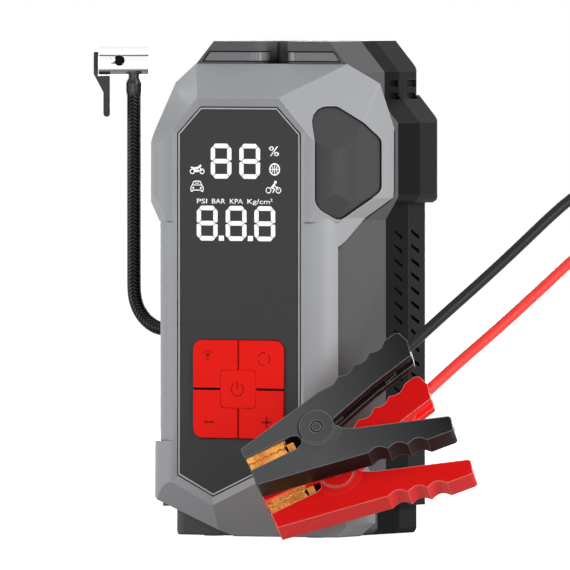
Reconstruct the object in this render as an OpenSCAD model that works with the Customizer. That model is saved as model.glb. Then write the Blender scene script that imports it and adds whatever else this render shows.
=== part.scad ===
// Jump starter pack with a built-in tyre inflator: a free-standing moulded casing that
// holds a battery, a control board and a small piston compressor, with a braided air
// hose on its left side and a pair of battery clamps leaning on its front right corner.
// Millimetres. +Z is up, the control panel faces -Y, the origin is the middle of the base.

/* [Casing] */
// Height of the casing
body_h = 200; // [190:1:215]
// Width across the shoulders
body_w = 95.4; // [92:0.2:104]
// Depth from the control panel to the back
body_d = 81; // [79:0.5:90]
// Wall thickness of the mouldings
wall = 2.2; // [1.8:0.1:2.5]
// Radius of the front corners at the shoulders
corner_r = 16.5; // [15.5:0.5:18.5]
// How far the waist is drawn in at each side
waist_in = 5.1; // [4:0.1:5.6]
// Radius of the front corners at the waist
waist_r = 15; // [13:0.5:16]
// How far the neck is drawn in at each side
neck_in = 9.7; // [8.5:0.1:10.5]
// Radius of the rear corners
rear_r = 3; // [2:0.5:6]
// Depth of the rear cover
cover_depth = 16; // [14:0.5:18]
// Step of the darker casing behind the front shell
casing_step = 0.6; // [0.3:0.1:1]

/* [Front shell] */
// Drop from the top of the casing to the rear edge of the shell
shell_drop = 9.1; // [8:0.1:11]
// Drop from the top of the casing to the top of the panel frame
frame_drop = 22.5; // [21:0.5:25]
// Width of the clipped corners of the panel frame
frame_clip = 12; // [10:0.5:14]
// Depth of the bevelled frame round the control panel
frame_depth = 0.8; // [0.6:0.1:1.2]
// Width of the bevel at the sides of the panel
bevel_side = 2.3; // [2:0.1:3.5]
// Width of the bevel at the top and bottom of the panel
bevel_end = 3.7; // [3:0.1:4.5]
// Height of the lowest point of the panel frame
frame_tip = 12.8; // [12:0.2:16]
// Distance of that point to the left of the middle
tip_left = 12; // [8:0.2:16]
// Rise of the frame from its lowest point to its left corner
rise_left = 9.4; // [8:0.2:13]
// Rise of the frame from its lowest point to its right corner
rise_right = 19.6; // [16:0.2:24]
// Distance of the shoulder wings of the front shell from the back
wing_back = 37.6; // [36:0.2:41]
// Depth of the side insert below the shell surface
insert_sink = 0.7; // [0.4:0.1:1]
// Thickness of the side insert
insert_t = 0.8; // [0.6:0.1:1]

/* [Control panel] */
// Thickness of the control panel
panel_t = 2; // [1.6:0.1:2.6]
// Width of the light trim round the panel
trim_w = 0.9; // [0.6:0.1:1.4]
// Dark margin between the keypad and the edge of the panel
pad_margin = 6.6; // [4:0.1:8]
// Height of the keypad
pad_h = 39.5; // [36:0.5:44]
// Height of the lower edge of the keypad above the floor
pad_low = 40.2; // [38:0.2:46]
// Corner radius of the keypad
pad_r = 4; // [2:0.5:6]
// Width of the middle key
mid_key_w = 16; // [13:0.5:18]
// Height of the middle key
mid_key_h = 15; // [13:0.5:17]
// Gap between two keys
key_gap = 0.9; // [0.6:0.1:1.4]
// Height of the keys above the panel
key_proud = 0.7; // [0.6:0.1:0.8]
// Travel of a key
key_travel = 0.5; // [0.3:0.1:0.5]
// Margin at each side of the display
display_margin = 6.7; // [3:0.1:8]
// Height of the display
display_h = 47; // [42:0.5:50]

/* [Air hose and chuck] */
// Outer diameter of the braided hose
hose_d = 5.6; // [5:0.1:6]
// Height of the hose outlet above the floor
outlet_z = 83; // [78:1:90]
// Outer radius of the chuck body
chuck_r = 5.9; // [5.6:0.1:6.5]
// Length of the chuck body
chuck_len = 20.4; // [19:0.2:26]
// Radius of the valve mouth
mouth_r = 4.1; // [3.9:0.1:4.3]
// Depth of the valve mouth
mouth_depth = 9; // [8:0.5:10]
// Turn of the chuck about the hose, in degrees
chuck_turn = 30; // [0:5:45]
// Width of the chuck lever
lever_w = 7; // [5:0.5:9]

/* [Battery clamps] */
// Thickness of a clamp
clamp_t = 15; // [14:0.5:16]
// Lean of the clamps from upright, in degrees
clamp_lean = 21; // [18:0.5:24]
// Turn of the clamps to the right, in degrees
clamp_turn = 22; // [19:0.5:25]
// Roll of the clamps, jaws down, in degrees
clamp_roll = 27.5; // [25:0.5:29]
// Radius of the pivot boss
boss_r = 7.1; // [6.4:0.1:7.2]
// Radius of the rivet shaft
rivet_r = 1.8; // [1.5:0.1:2]
// Radius of the rivet head
rivet_head_r = 2; // [1.9:0.1:2.4]
// Outer diameter of the battery cables
cable_d = 4.4; // [4:0.1:4.8]

/* [Compressor] */
// Radius of the motor can
motor_r = 13.5; // [12:0.5:14]
// Length of the motor can
motor_len = 38; // [34:1:40]
// Height of the motor axis above the floor
motor_z = 58; // [54:1:62]
// Size of the gear teeth
gear_module = 0.7; // [0.6:0.05:0.75]
// Crank radius, half of the stroke
crank_r = 4.5; // [3.5:0.5:5]
// Radius of the cylinder bore
bore_r = 7.5; // [7:0.1:8]
// Length of the cylinder
cylinder_len = 24; // [22:0.5:26]

/* [Ports] */
// Radius of the two contacts of the output socket
contact_r = 2.6; // [2.2:0.1:3]
// Distance between the two contacts
contact_gap = 9; // [8:0.5:11]

/* [Clearances] */
// Gap between two pieces that are fixed to each other
fit = 0.15; // [0.1:0.05:0.25]
// Gap round a pin or shaft that turns
running = 0.05; // [0.03:0.01:0.08]
// Gap between two pieces that move past each other
free_gap = 0.3; // [0.25:0.05:0.4]
// How far the rubber feet stand below the casing
foot_proud = 0.5; // [0.4:0.1:1]

/* [Hidden] */
$fn = 48;

shell_grey = "#a2a3a6";
panel_dark = "#434345";
casing_dark = "#58585b";
casing_black = "#29292c";
cover_black = "#333336";
key_red = "#e8241c";
chrome_grey = "#d8dadd";
clamp_black = "#4c4c4f";
clamp_red = "#e0201c";
copper_gold = "#d98a3a";
board_green = "#1f5a3a";

// ---- Reference planes of the casing ----
far = 2 * body_h;
front = -body_d / 2;
back = body_d / 2;
base = foot_proud;
half_w = body_w / 2;
waist_half = half_w - waist_in;
casing_half = waist_half - casing_step;
neck_half = half_w - neck_in;
function behind(d) = front + d;

shoulder_low = body_h - 63;
taper_h = 8;
shoulder_end = shoulder_low - taper_h;
slope_top = body_h - 22;
slope_end = body_h - 33;
case_low = body_h - 65.5;
case_round = 4.6;
neck_clip_x = 11;
neck_clip_z = 12.4;
foot_half = half_w - 1.7;
foot_r = 17;
foot_top = 38.6;
foot_shoulder = 33.7;
foot_wing_depth = 31;
base_half = neck_half;
base_top = 12;
base_front = 12;
top_front = 27;
vent_depth = body_d - 28.5;
middle_depth = body_d - 34.4;
wing_depth = body_d - wing_back;
seam_y = back - cover_depth;

// ---- General helpers ----
function unit(v) = v / norm(v);
function flat(p) = [p[0], p[1]];

// Outline whose corners [x, y, radius] are rounded to their radius
function rounded(corners, steps = 5) = [
  for (i = [0 : len(corners) - 1])
    let (n = len(corners), p = flat(corners[i]), r = corners[i][2],
      u = unit(flat(corners[(i + n - 1) % n]) - p),
      v = unit(flat(corners[(i + 1) % n]) - p),
      half = acos(max(-1, min(1, u * v))) / 2)
    for (k = [0 : r > 0 ? steps : 0])
      r > 0
        ? let (c = p + unit(u + v) * r / sin(half), reach = r / tan(half),
            a = p + u * reach - c, b = p + v * reach - c)
          c + r * unit(a * (1 - k / steps) + b * (k / steps))
        : p];

// Plan of the casing, drawn in by t, starting at depth d0 behind the front plane
module plan(half, rf, rr, t, d0 = 0) {
  a = half - t;
  f = max(rf - t, 0.5);
  r = max(rr - t, 0.5);
  y0 = behind(d0) + t;
  y1 = back - t;
  translate([-a, y0 + f]) square([2 * a, y1 - y0 - f - r]);
  translate([f - a, y0]) square([2 * (a - f), y1 - y0 - r]);
  translate([r - a, y0 + f]) square([2 * (a - r), y1 - y0 - f]);
  for (s = [-1, 1]) {
    translate([s * (a - f), y0 + f]) circle(f);
    translate([s * (a - r), y1 - r]) circle(r);
  }
}

module slab(half, rf, rr, z1, z2, t, d0 = 0)
  translate([0, 0, z1]) linear_extrude(z2 - z1) plan(half, rf, rr, t, d0);

// Everything beyond the plane through p with outward normal n, moved in by t
module beyond(p, n, t = 0)
  translate(p) rotate([0, acos(n[2] / norm(n)), atan2(n[1], n[0])])
    translate([-far, -far, -t]) cube(2 * far);

// The corners on both sides outside the line from (x1, z1) down to (x2, z2)
module clip_sides(x1, z1, x2, z2, t)
  for (s = [-1, 1]) beyond([s * x1, 0, z1], [s * (z1 - z2), 0, x2 - x1], t);

// Everything beyond the plane through three points
module facet(a, b, c, t) beyond(a, cross(b - a, c - a), t);

// Solid across the full width whose side view is the outline of [y, z] points
module side_prism(points)
  translate([-far / 2, 0, 0]) rotate([90, 0, 90]) linear_extrude(far) polygon(points);

// Front view outline, from depth d1 to depth d2 behind the front plane
module front_prism(d1, d2)
  translate([0, behind(d2), 0]) rotate([90, 0, 0]) linear_extrude(d2 - d1) children();

module block(x1, x2, y1, y2, z1, z2)
  translate([x1, y1, z1]) cube([x2 - x1, y2 - y1, z2 - z1]);

module rod_x(x1, x2, r) translate([x1, 0, 0]) rotate([0, 90, 0]) cylinder(x2 - x1, r = r);
module rod_y(y1, y2, r) translate([0, y2, 0]) rotate([90, 0, 0]) cylinder(y2 - y1, r = r);

// ---- Control panel and its frame ----
frame_half = half_w - corner_r - 0.2;
frame_top = body_h - frame_drop;
frame_outer = [
  [frame_clip - frame_half, frame_top + 0.0], [frame_half - frame_clip, frame_top],
  [frame_half, frame_top - frame_clip - 1], [frame_half, frame_tip + rise_right],
  [-tip_left, frame_tip], [-frame_half, frame_tip + rise_left],
  [-frame_half, frame_top - frame_clip - 1]];
panel_half = frame_half - bevel_side;
panel_top = frame_top - bevel_end;
panel_clip = frame_clip - 1.2;
panel_tip = frame_tip + bevel_end;
pad_w = 2 * (panel_half - trim_w - 2 * fit - pad_margin);
display_w = 2 * (panel_half - display_margin);
function panel_outline(t) = [
  [panel_clip - panel_half + 0.4 * t, panel_top - t],
  [panel_half - panel_clip - 0.4 * t, panel_top - t],
  [panel_half - t, panel_top - panel_clip - 0.4 * t],
  [panel_half - t, panel_tip + rise_right - 1.2 + 0.6 * t],
  [-tip_left, panel_tip + 1.15 * t],
  [t - panel_half, panel_tip + rise_left - 1 + 0.7 * t],
  [t - panel_half, panel_top - panel_clip - 0.4 * t]];
panel_face = frame_depth;
panel_back = panel_face + panel_t;
seat_back = panel_back + wall;

module pad_outline(grow = 0) {
  w = pad_w / 2 + grow;
  r = pad_r + grow;
  z1 = pad_low - grow;
  z2 = pad_low + pad_h + grow;
  translate([-w, z1 + r]) square([2 * w, z2 - z1 - 2 * r]);
  translate([r - w, z1]) square([2 * (w - r), z2 - z1]);
  for (x = [r - w, w - r], z = [z1 + r, z2 - r]) translate([x, z]) circle(r);
}

display_top = frame_top - 14.5;
module display_outline(grow = 0)
  translate([-display_w / 2 - grow, display_top - display_h - grow])
    square([display_w + 2 * grow, display_h + 2 * grow]);

// ---- Forms of the casing ----
// Shoulders, from the waist taper up to z2
corner_taper = 2.5;
module shoulder_form(t, z2) difference() {
  slab(half_w, corner_r, rear_r, shoulder_end - 1.5, z2, t);
  clip_sides(half_w, shoulder_low, waist_half, shoulder_end, t);
  for (s = [-1, 1]) beyond([s * (waist_half - waist_r * (1 - cos(45))), front + waist_r * (1 - cos(45)),
    shoulder_end], [s * taper_h * cos(45), -taper_h * cos(45), -corner_taper], t);
}

// Flared foot of the front shell
module foot_form(t) difference() {
  slab(foot_half, foot_r, rear_r, base + t, foot_top, t);
  clip_sides(waist_half, foot_top, foot_half, foot_shoulder, t);
  beyond([-foot_half, 0, 17], [-13.5, 0, -34], t);
  beyond([foot_half, 0, 6], [4, 0, -5], t);
}

tip_low = [-tip_left + 1.6, behind(4), base];
module front_form(t) difference() {
  union() {
    shoulder_form(t, body_h - shell_drop + 1);
    slab(waist_half, waist_r, rear_r, foot_shoulder, shoulder_low, t);
    foot_form(t);
  }
  facet([frame_clip - frame_half, front, frame_top], [frame_half - frame_clip, front, frame_top],
    [0, behind(top_front), body_h - shell_drop], t);
  for (s = [0, 1]) mirror([s, 0, 0])
    facet([frame_half - frame_clip, front, frame_top],
      [frame_half, front, frame_top - frame_clip - 1],
      [neck_half - 2.7, behind(top_front), body_h - shell_drop], t);
  facet([-tip_left, front, frame_tip], [-frame_half, front, frame_tip + rise_left], tip_low, t);
  facet([frame_half, front, frame_tip + rise_right], [-tip_left, front, frame_tip], tip_low, t);
}

module casing_form(t) {
  difference() {
    shoulder_form(t, slope_top);
    clip_sides(neck_half, slope_top, half_w, slope_end, t);
  }
  slab(casing_half, waist_r, rear_r, base_top + t / 2, shoulder_low, t);
  difference() {
    slab(base_half, 6, rear_r, base + t, base_top + 3, t, base_front);
    clip_sides(base_half, base + 2.5, base_half - 2.5, base, t);
  }
}

// Middle and rear pieces: their shoulders end in a flat step with rounded edges
module rear_form(t) {
  difference() {
    slab(half_w, corner_r, rear_r, case_low + t, slope_top, t);
    for (s = [-1, 1], a = [30, 60])
      beyond([s * (half_w - case_round * (1 - cos(a))), 0, case_low + case_round * (1 - sin(a))],
        [s * cos(a), 0, -sin(a)], t);
    clip_sides(neck_half, slope_top, half_w, slope_end, t);
  }
  slab(casing_half, waist_r, rear_r, base_top + t / 2, case_low + case_round + 2 * wall, t);
  difference() {
    slab(base_half, 6, rear_r, base + t, base_top + 3, t, base_front);
    clip_sides(base_half, base + 2.5, base_half - 2.5, base, t);
  }
}

// Neck above the shoulders, with its corners clipped at the top
module neck_form(t, d0) difference() {
  slab(neck_half, 2, rear_r, slope_end, body_h - t, t, d0);
  clip_sides(neck_half - neck_clip_x, body_h, neck_half, body_h - neck_clip_z, t);
}

shell_side = concat(
  [[behind(-1), -1], [behind(foot_wing_depth), -1], [behind(foot_wing_depth), 24],
   [behind(9), 40], [behind(9), shoulder_end - 11.5]],
  [[behind(wing_depth - 4), shoulder_low - 2], [behind(wing_depth - 1), shoulder_low - 0.3],
   [behind(wing_depth), shoulder_low + 2], [behind(wing_depth), slope_end - 2],
   [behind(top_front), body_h - shell_drop], [behind(top_front), body_h + 1],
   [behind(-1), body_h + 1]]);
middle_side = [[behind(-1), -1], [behind(middle_depth), -1], [behind(middle_depth), slope_top],
  [behind(vent_depth), slope_top], [behind(vent_depth), body_h + 1], [behind(-1), body_h + 1]];

module hollow() {
  rear_form(wall);
  neck_form(wall, top_front);
}

// ---- Side inserts ----
insert_low = shoulder_end - 0.4;
insert_far = (wing_depth - 2.9) * sqrt(2);
insert_corners = [[25.4, insert_low + 5, 6], [25.4, insert_low + 45.5, 7.5], [37, insert_low + 45.5, 4],
  [insert_far, insert_low + 32, 4], [insert_far, insert_low + 11.5, 3.5], [36, insert_low - 0.8, 5]];
module insert_window(grow)
  translate([0, front, 0]) rotate([90, 0, 45]) linear_extrude(60)
    offset(delta = grow) polygon(rounded(insert_corners));

module side_insert() color(casing_dark) intersection() {
  difference() {
    front_form(insert_sink);
    front_form(insert_sink + insert_t - fit / 3);
  }
  insert_window(-fit);
  side_prism(shell_side);
}

// ---- Casing pieces ----
post_r = 2.6;
board_face = seat_back + 4;
post_x = panel_half - 4.7;
post_places = [[-post_x, 104], [post_x, 104], [-post_x, 30], [post_x, 88]];

module front_shell() color(shell_grey) difference() {
  union() {
    intersection() {
      difference() {
        front_form(0);
        front_form(wall);
      }
      side_prism(shell_side);
    }
    front_prism(panel_back - wall / 2 - 0.2, seat_back) polygon(panel_outline(-1.5));
    for (p = post_places) translate([p[0], 0, p[1]]) rod_y(behind(seat_back - 0.5), behind(board_face), post_r);
  }
  hull() {
    front_prism(-0.01, 0) offset(delta = -0.2) polygon(frame_outer);
    front_prism(frame_depth, frame_depth + 0.01) polygon(panel_outline(0));
  }
  front_prism(-1, panel_back) polygon(panel_outline(0));
  front_prism(-1, seat_back + 1) pad_outline(1 + free_gap);
  front_prism(-1, seat_back + 1) display_outline(free_gap);
  foot_recesses();
  for (p = post_places) translate([p[0], 0, p[1]]) rod_y(behind(seat_back), behind(board_face) + 1, 1);
  intersection() {
    difference() {
      front_form(-1);
      front_form(insert_sink + insert_t);
    }
    insert_window(0);
  }
}

module panel_trim() color(shell_grey) front_prism(panel_face - 0.1, panel_back) difference() {
  polygon(panel_outline(fit));
  polygon(panel_outline(trim_w + fit));
}

module control_panel() color(panel_dark) front_prism(panel_face, panel_back) difference() {
  polygon(panel_outline(trim_w + 2 * fit));
  pad_outline(free_gap);
}

module lobes(t, z1, z2) for (s = [-1, 1]) translate([0, 0, z1]) linear_extrude(z2 - z1)
  lobe_plan(s, t);
notch_half = 5;
lobe_r = 6;
notch_depth = 14;
// Plan of one of the two lobes of the neck front, drawn in by t
module lobe_plan(s, t) mirror([s < 0 ? 1 : 0, 0]) {
  x0 = notch_half + t;
  y0 = behind(top_front) + t;
  r = lobe_r - t;
  translate([x0, y0 + r]) square([neck_half - x0 - t, notch_depth - lobe_r]);
  translate([x0 + r, y0]) square([neck_half - x0 - r - t, notch_depth]);
  translate([x0 + r, y0 + r]) circle(r);
}

bar_low = body_h - 8.2;
bar_high = body_h - 4.1;
bar_t = 1.1;
bar_reach = 8;
module light_bar(grow) intersection() {
  translate([0, 0, bar_low - grow]) linear_extrude(bar_high - bar_low + 2 * grow) difference() {
    lobe_plan(1, free_gap - 2 * grow);
    lobe_plan(1, free_gap + bar_t + grow);
  }
  block(0, neck_half, behind(0), behind(top_front + bar_reach + grow), bar_low - 1, bar_high + 1);
  difference() {
    block(0, neck_half - 2.6 + grow, front, back, bar_low - 1, bar_high + 1);
    clip_sides(neck_half - neck_clip_x, body_h, neck_half, body_h - neck_clip_z, 1.6 - grow);
  }
}

// Part of the dark base that shows below the slanted lower edges of the front shell
module base_wedge() difference() {
  block(-far, far, behind(base_front) - 1, behind(foot_wing_depth) + 1, -1, base_top + 3);
  front_form(-0.02);
}

module front_casing() color(casing_dark) difference() {
  union() {
    difference() {
      casing_form(0);
      difference() {
        hollow();
        base_wedge();
      }
    }
    difference() {
      neck_form(0, top_front);
      neck_form(wall, top_front);
      rear_form(wall);
    }
    block(-notch_half - wall, notch_half + wall, behind(top_front), behind(top_front + notch_depth + wall),
      body_h - shell_drop - wall, body_h - 1);
    intersection() {
      lobes(0, body_h - shell_drop - wall, body_h - 1);
      block(-notch_half - lobe_r - wall, notch_half + lobe_r + wall, behind(top_front),
        behind(top_front + lobe_r), 0, body_h);
    }
  }
  difference() {
    side_prism(shell_side);
    base_wedge();
  }
  beyond([0, behind(vent_depth), 0], [0, 1, 0]);
  block(-far, far, behind(middle_depth), back + 1, -1, slope_top);
  difference() {
    block(-notch_half - lobe_r, notch_half + lobe_r, behind(top_front - 1), behind(top_front + notch_depth),
      body_h - shell_drop, body_h + 1);
    lobes(0, body_h - shell_drop - 1, body_h + 2);
  }
  for (s = [0, 1]) mirror([s, 0, 0]) light_bar(fit);
  translate([0, hose_y, outlet_z]) rod_x(-far, -waist_half + 10, gland_r + fit);
  foot_recesses();
}

light_clear = "#c9ccd0";
module light_bar_right() color(light_clear) light_bar(0);
module light_bar_left() color(light_clear) mirror([1, 0, 0]) light_bar(0);

// Louvres in the side of the waist: slanted slots in a column
louvre_pitch = 5.75;
louvre_low = 46;
louvre_count = 15;
louvre_w = 7;
louvre_h = 1.8;
louvre_rise = 2.8;
module louvres(y_mid, depth) for (i = [0 : louvre_count - 1], s = [-1, 1])
  let (z = louvre_low + i * louvre_pitch)
    if (z + louvre_rise < shoulder_end - 2)
      translate([s * casing_half, y_mid, z]) rotate([90, 0, 90])
        translate([0, 0, -depth]) linear_extrude(2 * depth)
          polygon([[-louvre_w / 2, louvre_rise / 2], [-louvre_w / 2, louvre_rise / 2 + louvre_h],
            [louvre_w / 2, louvre_h - louvre_rise / 2], [louvre_w / 2, -louvre_rise / 2]]);

vent_low = body_h - 23.8;
vent_pitch = 5.1;
vent_h = 2.9;
vent_w = 7.6;
vent_sink = 1.3;
module vent_slots(y_mid) for (i = [0, 1], s = [-1, 1])
  translate([s * neck_half, y_mid, vent_low + i * vent_pitch + vent_h / 2])
    cube([2 * vent_sink, vent_w, vent_h], center = true);

module rear_body() {
  difference() {
    rear_form(0);
    hollow();
  }
  difference() {
    neck_form(0, vent_depth - 5);
    neck_form(wall, top_front);
    rear_form(wall);
  }
}

module middle_casing() color(casing_black) difference() {
  union() {
    rear_body();
    for (p = screw_places) translate([p[0], 0, p[1]]) {
      rod_y(seam_y - boss_len, seam_y, screw_r + boss_wall);
      mirror([p[0] < 0 ? 1 : 0, 0, 0]) difference() {
        block(0, (p[1] > shoulder_low ? half_w : waist_half) - 1.5 - screw_x, seam_y - boss_len, seam_y, -0.8, 0.8);
        rod_y(seam_y - boss_len - 1, seam_y + 1, screw_r);
      }
    }
  }
  side_prism(middle_side);
  beyond([0, seam_y, 0], [0, 1, 0]);
  for (p = screw_places) translate([p[0], 0, p[1]]) rod_y(back - head_depth - screw_len - 1, back, screw_r);
  louvres(seam_y - 8.2, 0.9);
  vent_slots(seam_y - 5.2);
  foot_recesses();
}

screw_x = waist_half - 10.6;
screw_places = [for (x = [-screw_x, screw_x], z = [22, 76, body_h - 45]) [x, z]];
screw_head_r = 2.6;
screw_r = 1.3;
screw_len = 12;
head_depth = 5;
head_t = 1.8;
boss_wall = 1.6;
boss_len = 7;
socket_z = body_h - 26;
port_z = body_h - 48;
module rear_cover() color(cover_black) difference() {
  union() {
    intersection() {
      rear_body();
      beyond([0, seam_y, 0], [0, 1, 0]);
    }
    for (p = screw_places) translate([p[0], 0, p[1]])
      rod_y(seam_y, back - wall / 2, screw_head_r + boss_wall);
  }
  louvres(seam_y + 5.7, 1.5);
  vent_slots(seam_y + 9.4);
  foot_recesses();
  for (p = screw_places) translate([p[0], 0, p[1]]) {
    rod_y(seam_y - 1, back + 1, screw_r + fit);
    rod_y(back - head_depth, back + 1, screw_head_r + fit);
  }
  translate([0, 0, socket_z]) front_prism_back(15.5 + 2 * fit, 9.5 + 2 * fit);
  translate([-10, 0, port_z]) front_prism_back(15 + 2 * fit, 7.5 + 2 * fit);
  translate([10, 0, port_z]) front_prism_back(11.5 + 2 * fit, 6 + 2 * fit);
}

// Rectangular opening through the back wall
module front_prism_back(w, h) block(-w / 2, w / 2, back - wall - 1, back + 1, -h / 2, h / 2);

module casing_screws() color("#9a9ca0") for (p = screw_places) translate([p[0], 0, p[1]])
  difference() {
    union() {
      rod_y(back - head_depth - screw_len, back - head_depth + 0.1, screw_r);
      rod_y(back - head_depth + 0.02, back - head_depth + head_t, screw_head_r);
    }
    for (a = [0, 90]) rotate([0, a, 0])
      block(-1.5, 1.5, back - head_depth + 0.8, back, -0.35, 0.35);
  }

pad_foot_r = 4;
foot_places = [for (x = [14 - base_half, base_half - 14], y = [behind(base_front + 10), back - 14])
  [x, y, 0]];
pad_sink = 1.2;
module foot_recesses() for (p = foot_places) translate([p[0], p[1], -1])
  cylinder(base + pad_sink + 1, r = pad_foot_r + fit);
module rubber_feet() color("#1c1c1e") for (p = foot_places) translate(p)
  cylinder(base + pad_sink, r = pad_foot_r);

// ---- Keys, display and board ----
key_back = panel_back + 0.9;
mat_face = seat_back + 0.1;
mat_t = 1;
dome_top = key_back + key_travel + 0.1;
key_mid_z = pad_low + pad_h / 2;
module mid_outline(grow = 0) {
  w = mid_key_w / 2 + grow;
  h = mid_key_h / 2 + grow;
  r = 1.6;
  translate([-w, key_mid_z - h + r]) square([2 * w, 2 * (h - r)]);
  translate([r - w, key_mid_z - h]) square([2 * (w - r), 2 * h]);
  for (x = [r - w, w - r], z = [key_mid_z - h + r, key_mid_z + h - r]) translate([x, z]) circle(r);
}

// Outline of the corner key on the side sx and sz of the middle key
module key_quarter(sx, sz, grow) difference() {
  intersection() {
    pad_outline(grow);
    translate([sx > 0 ? key_gap / 2 : -far - key_gap / 2, key_mid_z + (sz > 0 ? key_gap / 2 : -far - key_gap / 2)])
      square(far);
  }
  mid_outline(free_gap);
}
module corner_key(sx, sz) color(key_red) {
  front_prism(panel_face - key_proud, panel_back + fit) key_quarter(sx, sz, 0);
  front_prism(panel_back + fit, key_back) key_quarter(sx, sz, 1);
}
module key_light() corner_key(-1, 1);
module key_mode() corner_key(1, 1);
module key_minus() corner_key(-1, -1);
module key_plus() corner_key(1, -1);
module key_power() color(key_red) front_prism(panel_face - key_proud - 0.1, key_back) mid_outline();

key_places = concat([[0, key_mid_z]],
  [for (x = [-1, 1], z = [-1, 1]) [x * pad_w * 0.36, key_mid_z + z * pad_h * 0.36]]);
module key_mat() color("#2a2a2c") {
  front_prism(mat_face, mat_face + mat_t)
    translate([-pad_w / 2 - 2, pad_low - 2]) square([pad_w + 4, pad_h + 4]);
  for (p = key_places) translate([p[0], 0, p[1]]) rod_y(behind(dome_top), behind(mat_face + 0.2), 2.6);
}

switch_top = mat_face + mat_t + 0.2;
module key_switches() color("#77787c") for (p = key_places) translate([p[0], 0, p[1]]) {
  rod_y(behind(switch_top), behind(board_face), 1.5);
  block(-3, 3, behind(board_face - 1.9), behind(board_face), -3, 3);
}

board_t = 1.6;
board_half = waist_half - 15.6;
board_low = 26;
board_high = body_h - 34;
module main_board() color(board_green) difference() {
  union() {
    block(-board_half, board_half, behind(board_face), behind(board_face + board_t), board_low, board_high);
    for (p = [[-16, 100, 8, 6], [6, 96, 12, 12], [-12, 126, 10, 7], [12, 124, 7, 14]])
      block(p[0], p[0] + p[2], behind(board_face + board_t) - 0.1, behind(board_face + board_t + 2.2),
        p[1], p[1] + p[3]);
    for (x = [-18, -6, 6]) translate([x + 6, 0, board_low + 8])
      rod_y(behind(board_face + board_t) - 0.1, behind(board_face + board_t + 2.4), 2.6);
  }
  for (p = post_places) translate([p[0], 0, p[1]]) rod_y(behind(board_face) - 1, behind(board_face + 3), 1.2);
}

module display_module() color("#d9dadd") front_prism(panel_back + fit, board_face)
  display_outline();

// ---- Battery ----
cell_gap = 0.3;
cell_half = waist_half - 14.1;
cell_h = 100;
tray_t = 1.6;
tab_x = 14;
tray_front = board_face + board_t + 3.6;
tray_low = 18;
cell_low = tray_low + tray_t;
cell_count = 3;
comp_in = 3.5;
tray_space = 6.6;
cell_t = (body_d - cover_depth - comp_in - motor_r - tray_space - tray_front - 2 * tray_t
  - (cell_count + 1) * cell_gap) / cell_count;
tray_back = tray_front + 2 * tray_t + cell_count * cell_t + (cell_count + 1) * cell_gap;
module battery_cells() color("#b9bec4") for (i = [0 : cell_count - 1])
  let (d = tray_front + tray_t + cell_gap + i * (cell_t + cell_gap)) {
    block(-cell_half, cell_half, behind(d), behind(d + cell_t), cell_low, cell_low + cell_h);
    for (x = [-tab_x, tab_x]) block(x - 5, x + 5, behind(d + 3), behind(d + 3.8), cell_low + cell_h - 0.5,
      cell_low + cell_h + 5);
  }

module battery_tray() color("#3b3b3e") difference() {
  union() {
    block(-cell_half - tray_t - cell_gap, cell_half + tray_t + cell_gap, behind(tray_front),
      behind(tray_back), tray_low, cell_low + cell_h * 0.8);
    for (s = [-1, 1]) block(s * 16 - 4, s * 16 + 4, behind(tray_back - 7), behind(tray_back),
      base + wall + fit, tray_low + 1);
  }
  block(-cell_half - cell_gap, cell_half + cell_gap, behind(tray_front + tray_t),
    behind(tray_back - tray_t), cell_low, far);
  front_prism(tray_front - 1, tray_back + 1) translate([-cell_half + 8, cell_low + 12])
    square([2 * cell_half - 16, cell_h * 0.5]);
}

// ---- Output socket, USB ports and their leads ----
socket_depth = 11;
module output_socket() color("#2c4fa8") translate([0, 0, socket_z]) difference() {
  union() {
    block(-7.75, 7.75, back - wall - 1, back - 0.3, -4.75, 4.75);
    block(-9.5, 9.5, back - wall - socket_depth, back - wall - fit, -6.5, 6.5);
  }
  for (s = [-1, 1]) translate([s * contact_gap / 2, 0, 0])
    rod_y(back - wall - socket_depth + 2, back + 1, contact_r);
}

// A port: body behind the wall, mouth through it, and its contact tongue
module port(w, h, tongue_h) difference() {
  union() {
    block(-w / 2, w / 2, back - wall - 1, back - 0.3, -h / 2, h / 2);
    block(-w / 2 - 1, w / 2 + 1, back - wall - 11, back - wall - fit, -h / 2 - 1, h / 2 + 1);
  }
  difference() {
    block(1.2 - w / 2, w / 2 - 1.2, back - wall - 9, back + 1, 1.2 - h / 2, h / 2 - 1.2);
    block(2 - w / 2, w / 2 - 2, back - wall - 10, back - 1.5, -tongue_h / 2, tongue_h / 2);
  }
}
module usb_a_port() color("#b9bcc0") translate([-10, 0, port_z]) port(15, 7.5, 1.8);
module usb_c_port() color("#b9bcc0") translate([10, 0, port_z]) port(11.5, 6, 0.8);

lead_r = 2;
lead_rise = cell_low + cell_h + 5;
module power_leads() color("#c22a22") for (s = [-1, 1]) {
  y_cell = behind(tray_front + tray_t + cell_gap + 3.4);
  y_out = back - wall - socket_depth - 3;
  translate([s * tab_x, y_cell, lead_rise]) cylinder(socket_z - lead_rise, r = lead_r);
  translate([s * tab_x, y_cell, socket_z]) sphere(lead_r);
  translate([s * tab_x, 0, socket_z]) rod_y(y_cell, y_out, lead_r);
  translate([s * tab_x, y_out, socket_z]) sphere(lead_r);
  translate([0, y_out, socket_z]) rod_x(s > 0 ? contact_gap / 2 : -tab_x, s > 0 ? tab_x : -contact_gap / 2, lead_r);
  translate([s * contact_gap / 2, y_out, socket_z]) sphere(lead_r);
  translate([s * contact_gap / 2, 0, socket_z]) rod_y(y_out, back - wall - socket_depth, lead_r);
}

module lamp_board() color("#e8e8e4") for (s = [0, 1]) mirror([s, 0, 0])
  block(notch_half + lobe_r + wall + 2 * fit, neck_half - neck_clip_x - 2,
    behind(top_front + wall + fit), behind(top_front + wall + fit + 1), body_h - 14, body_h - wall - fit);

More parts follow.
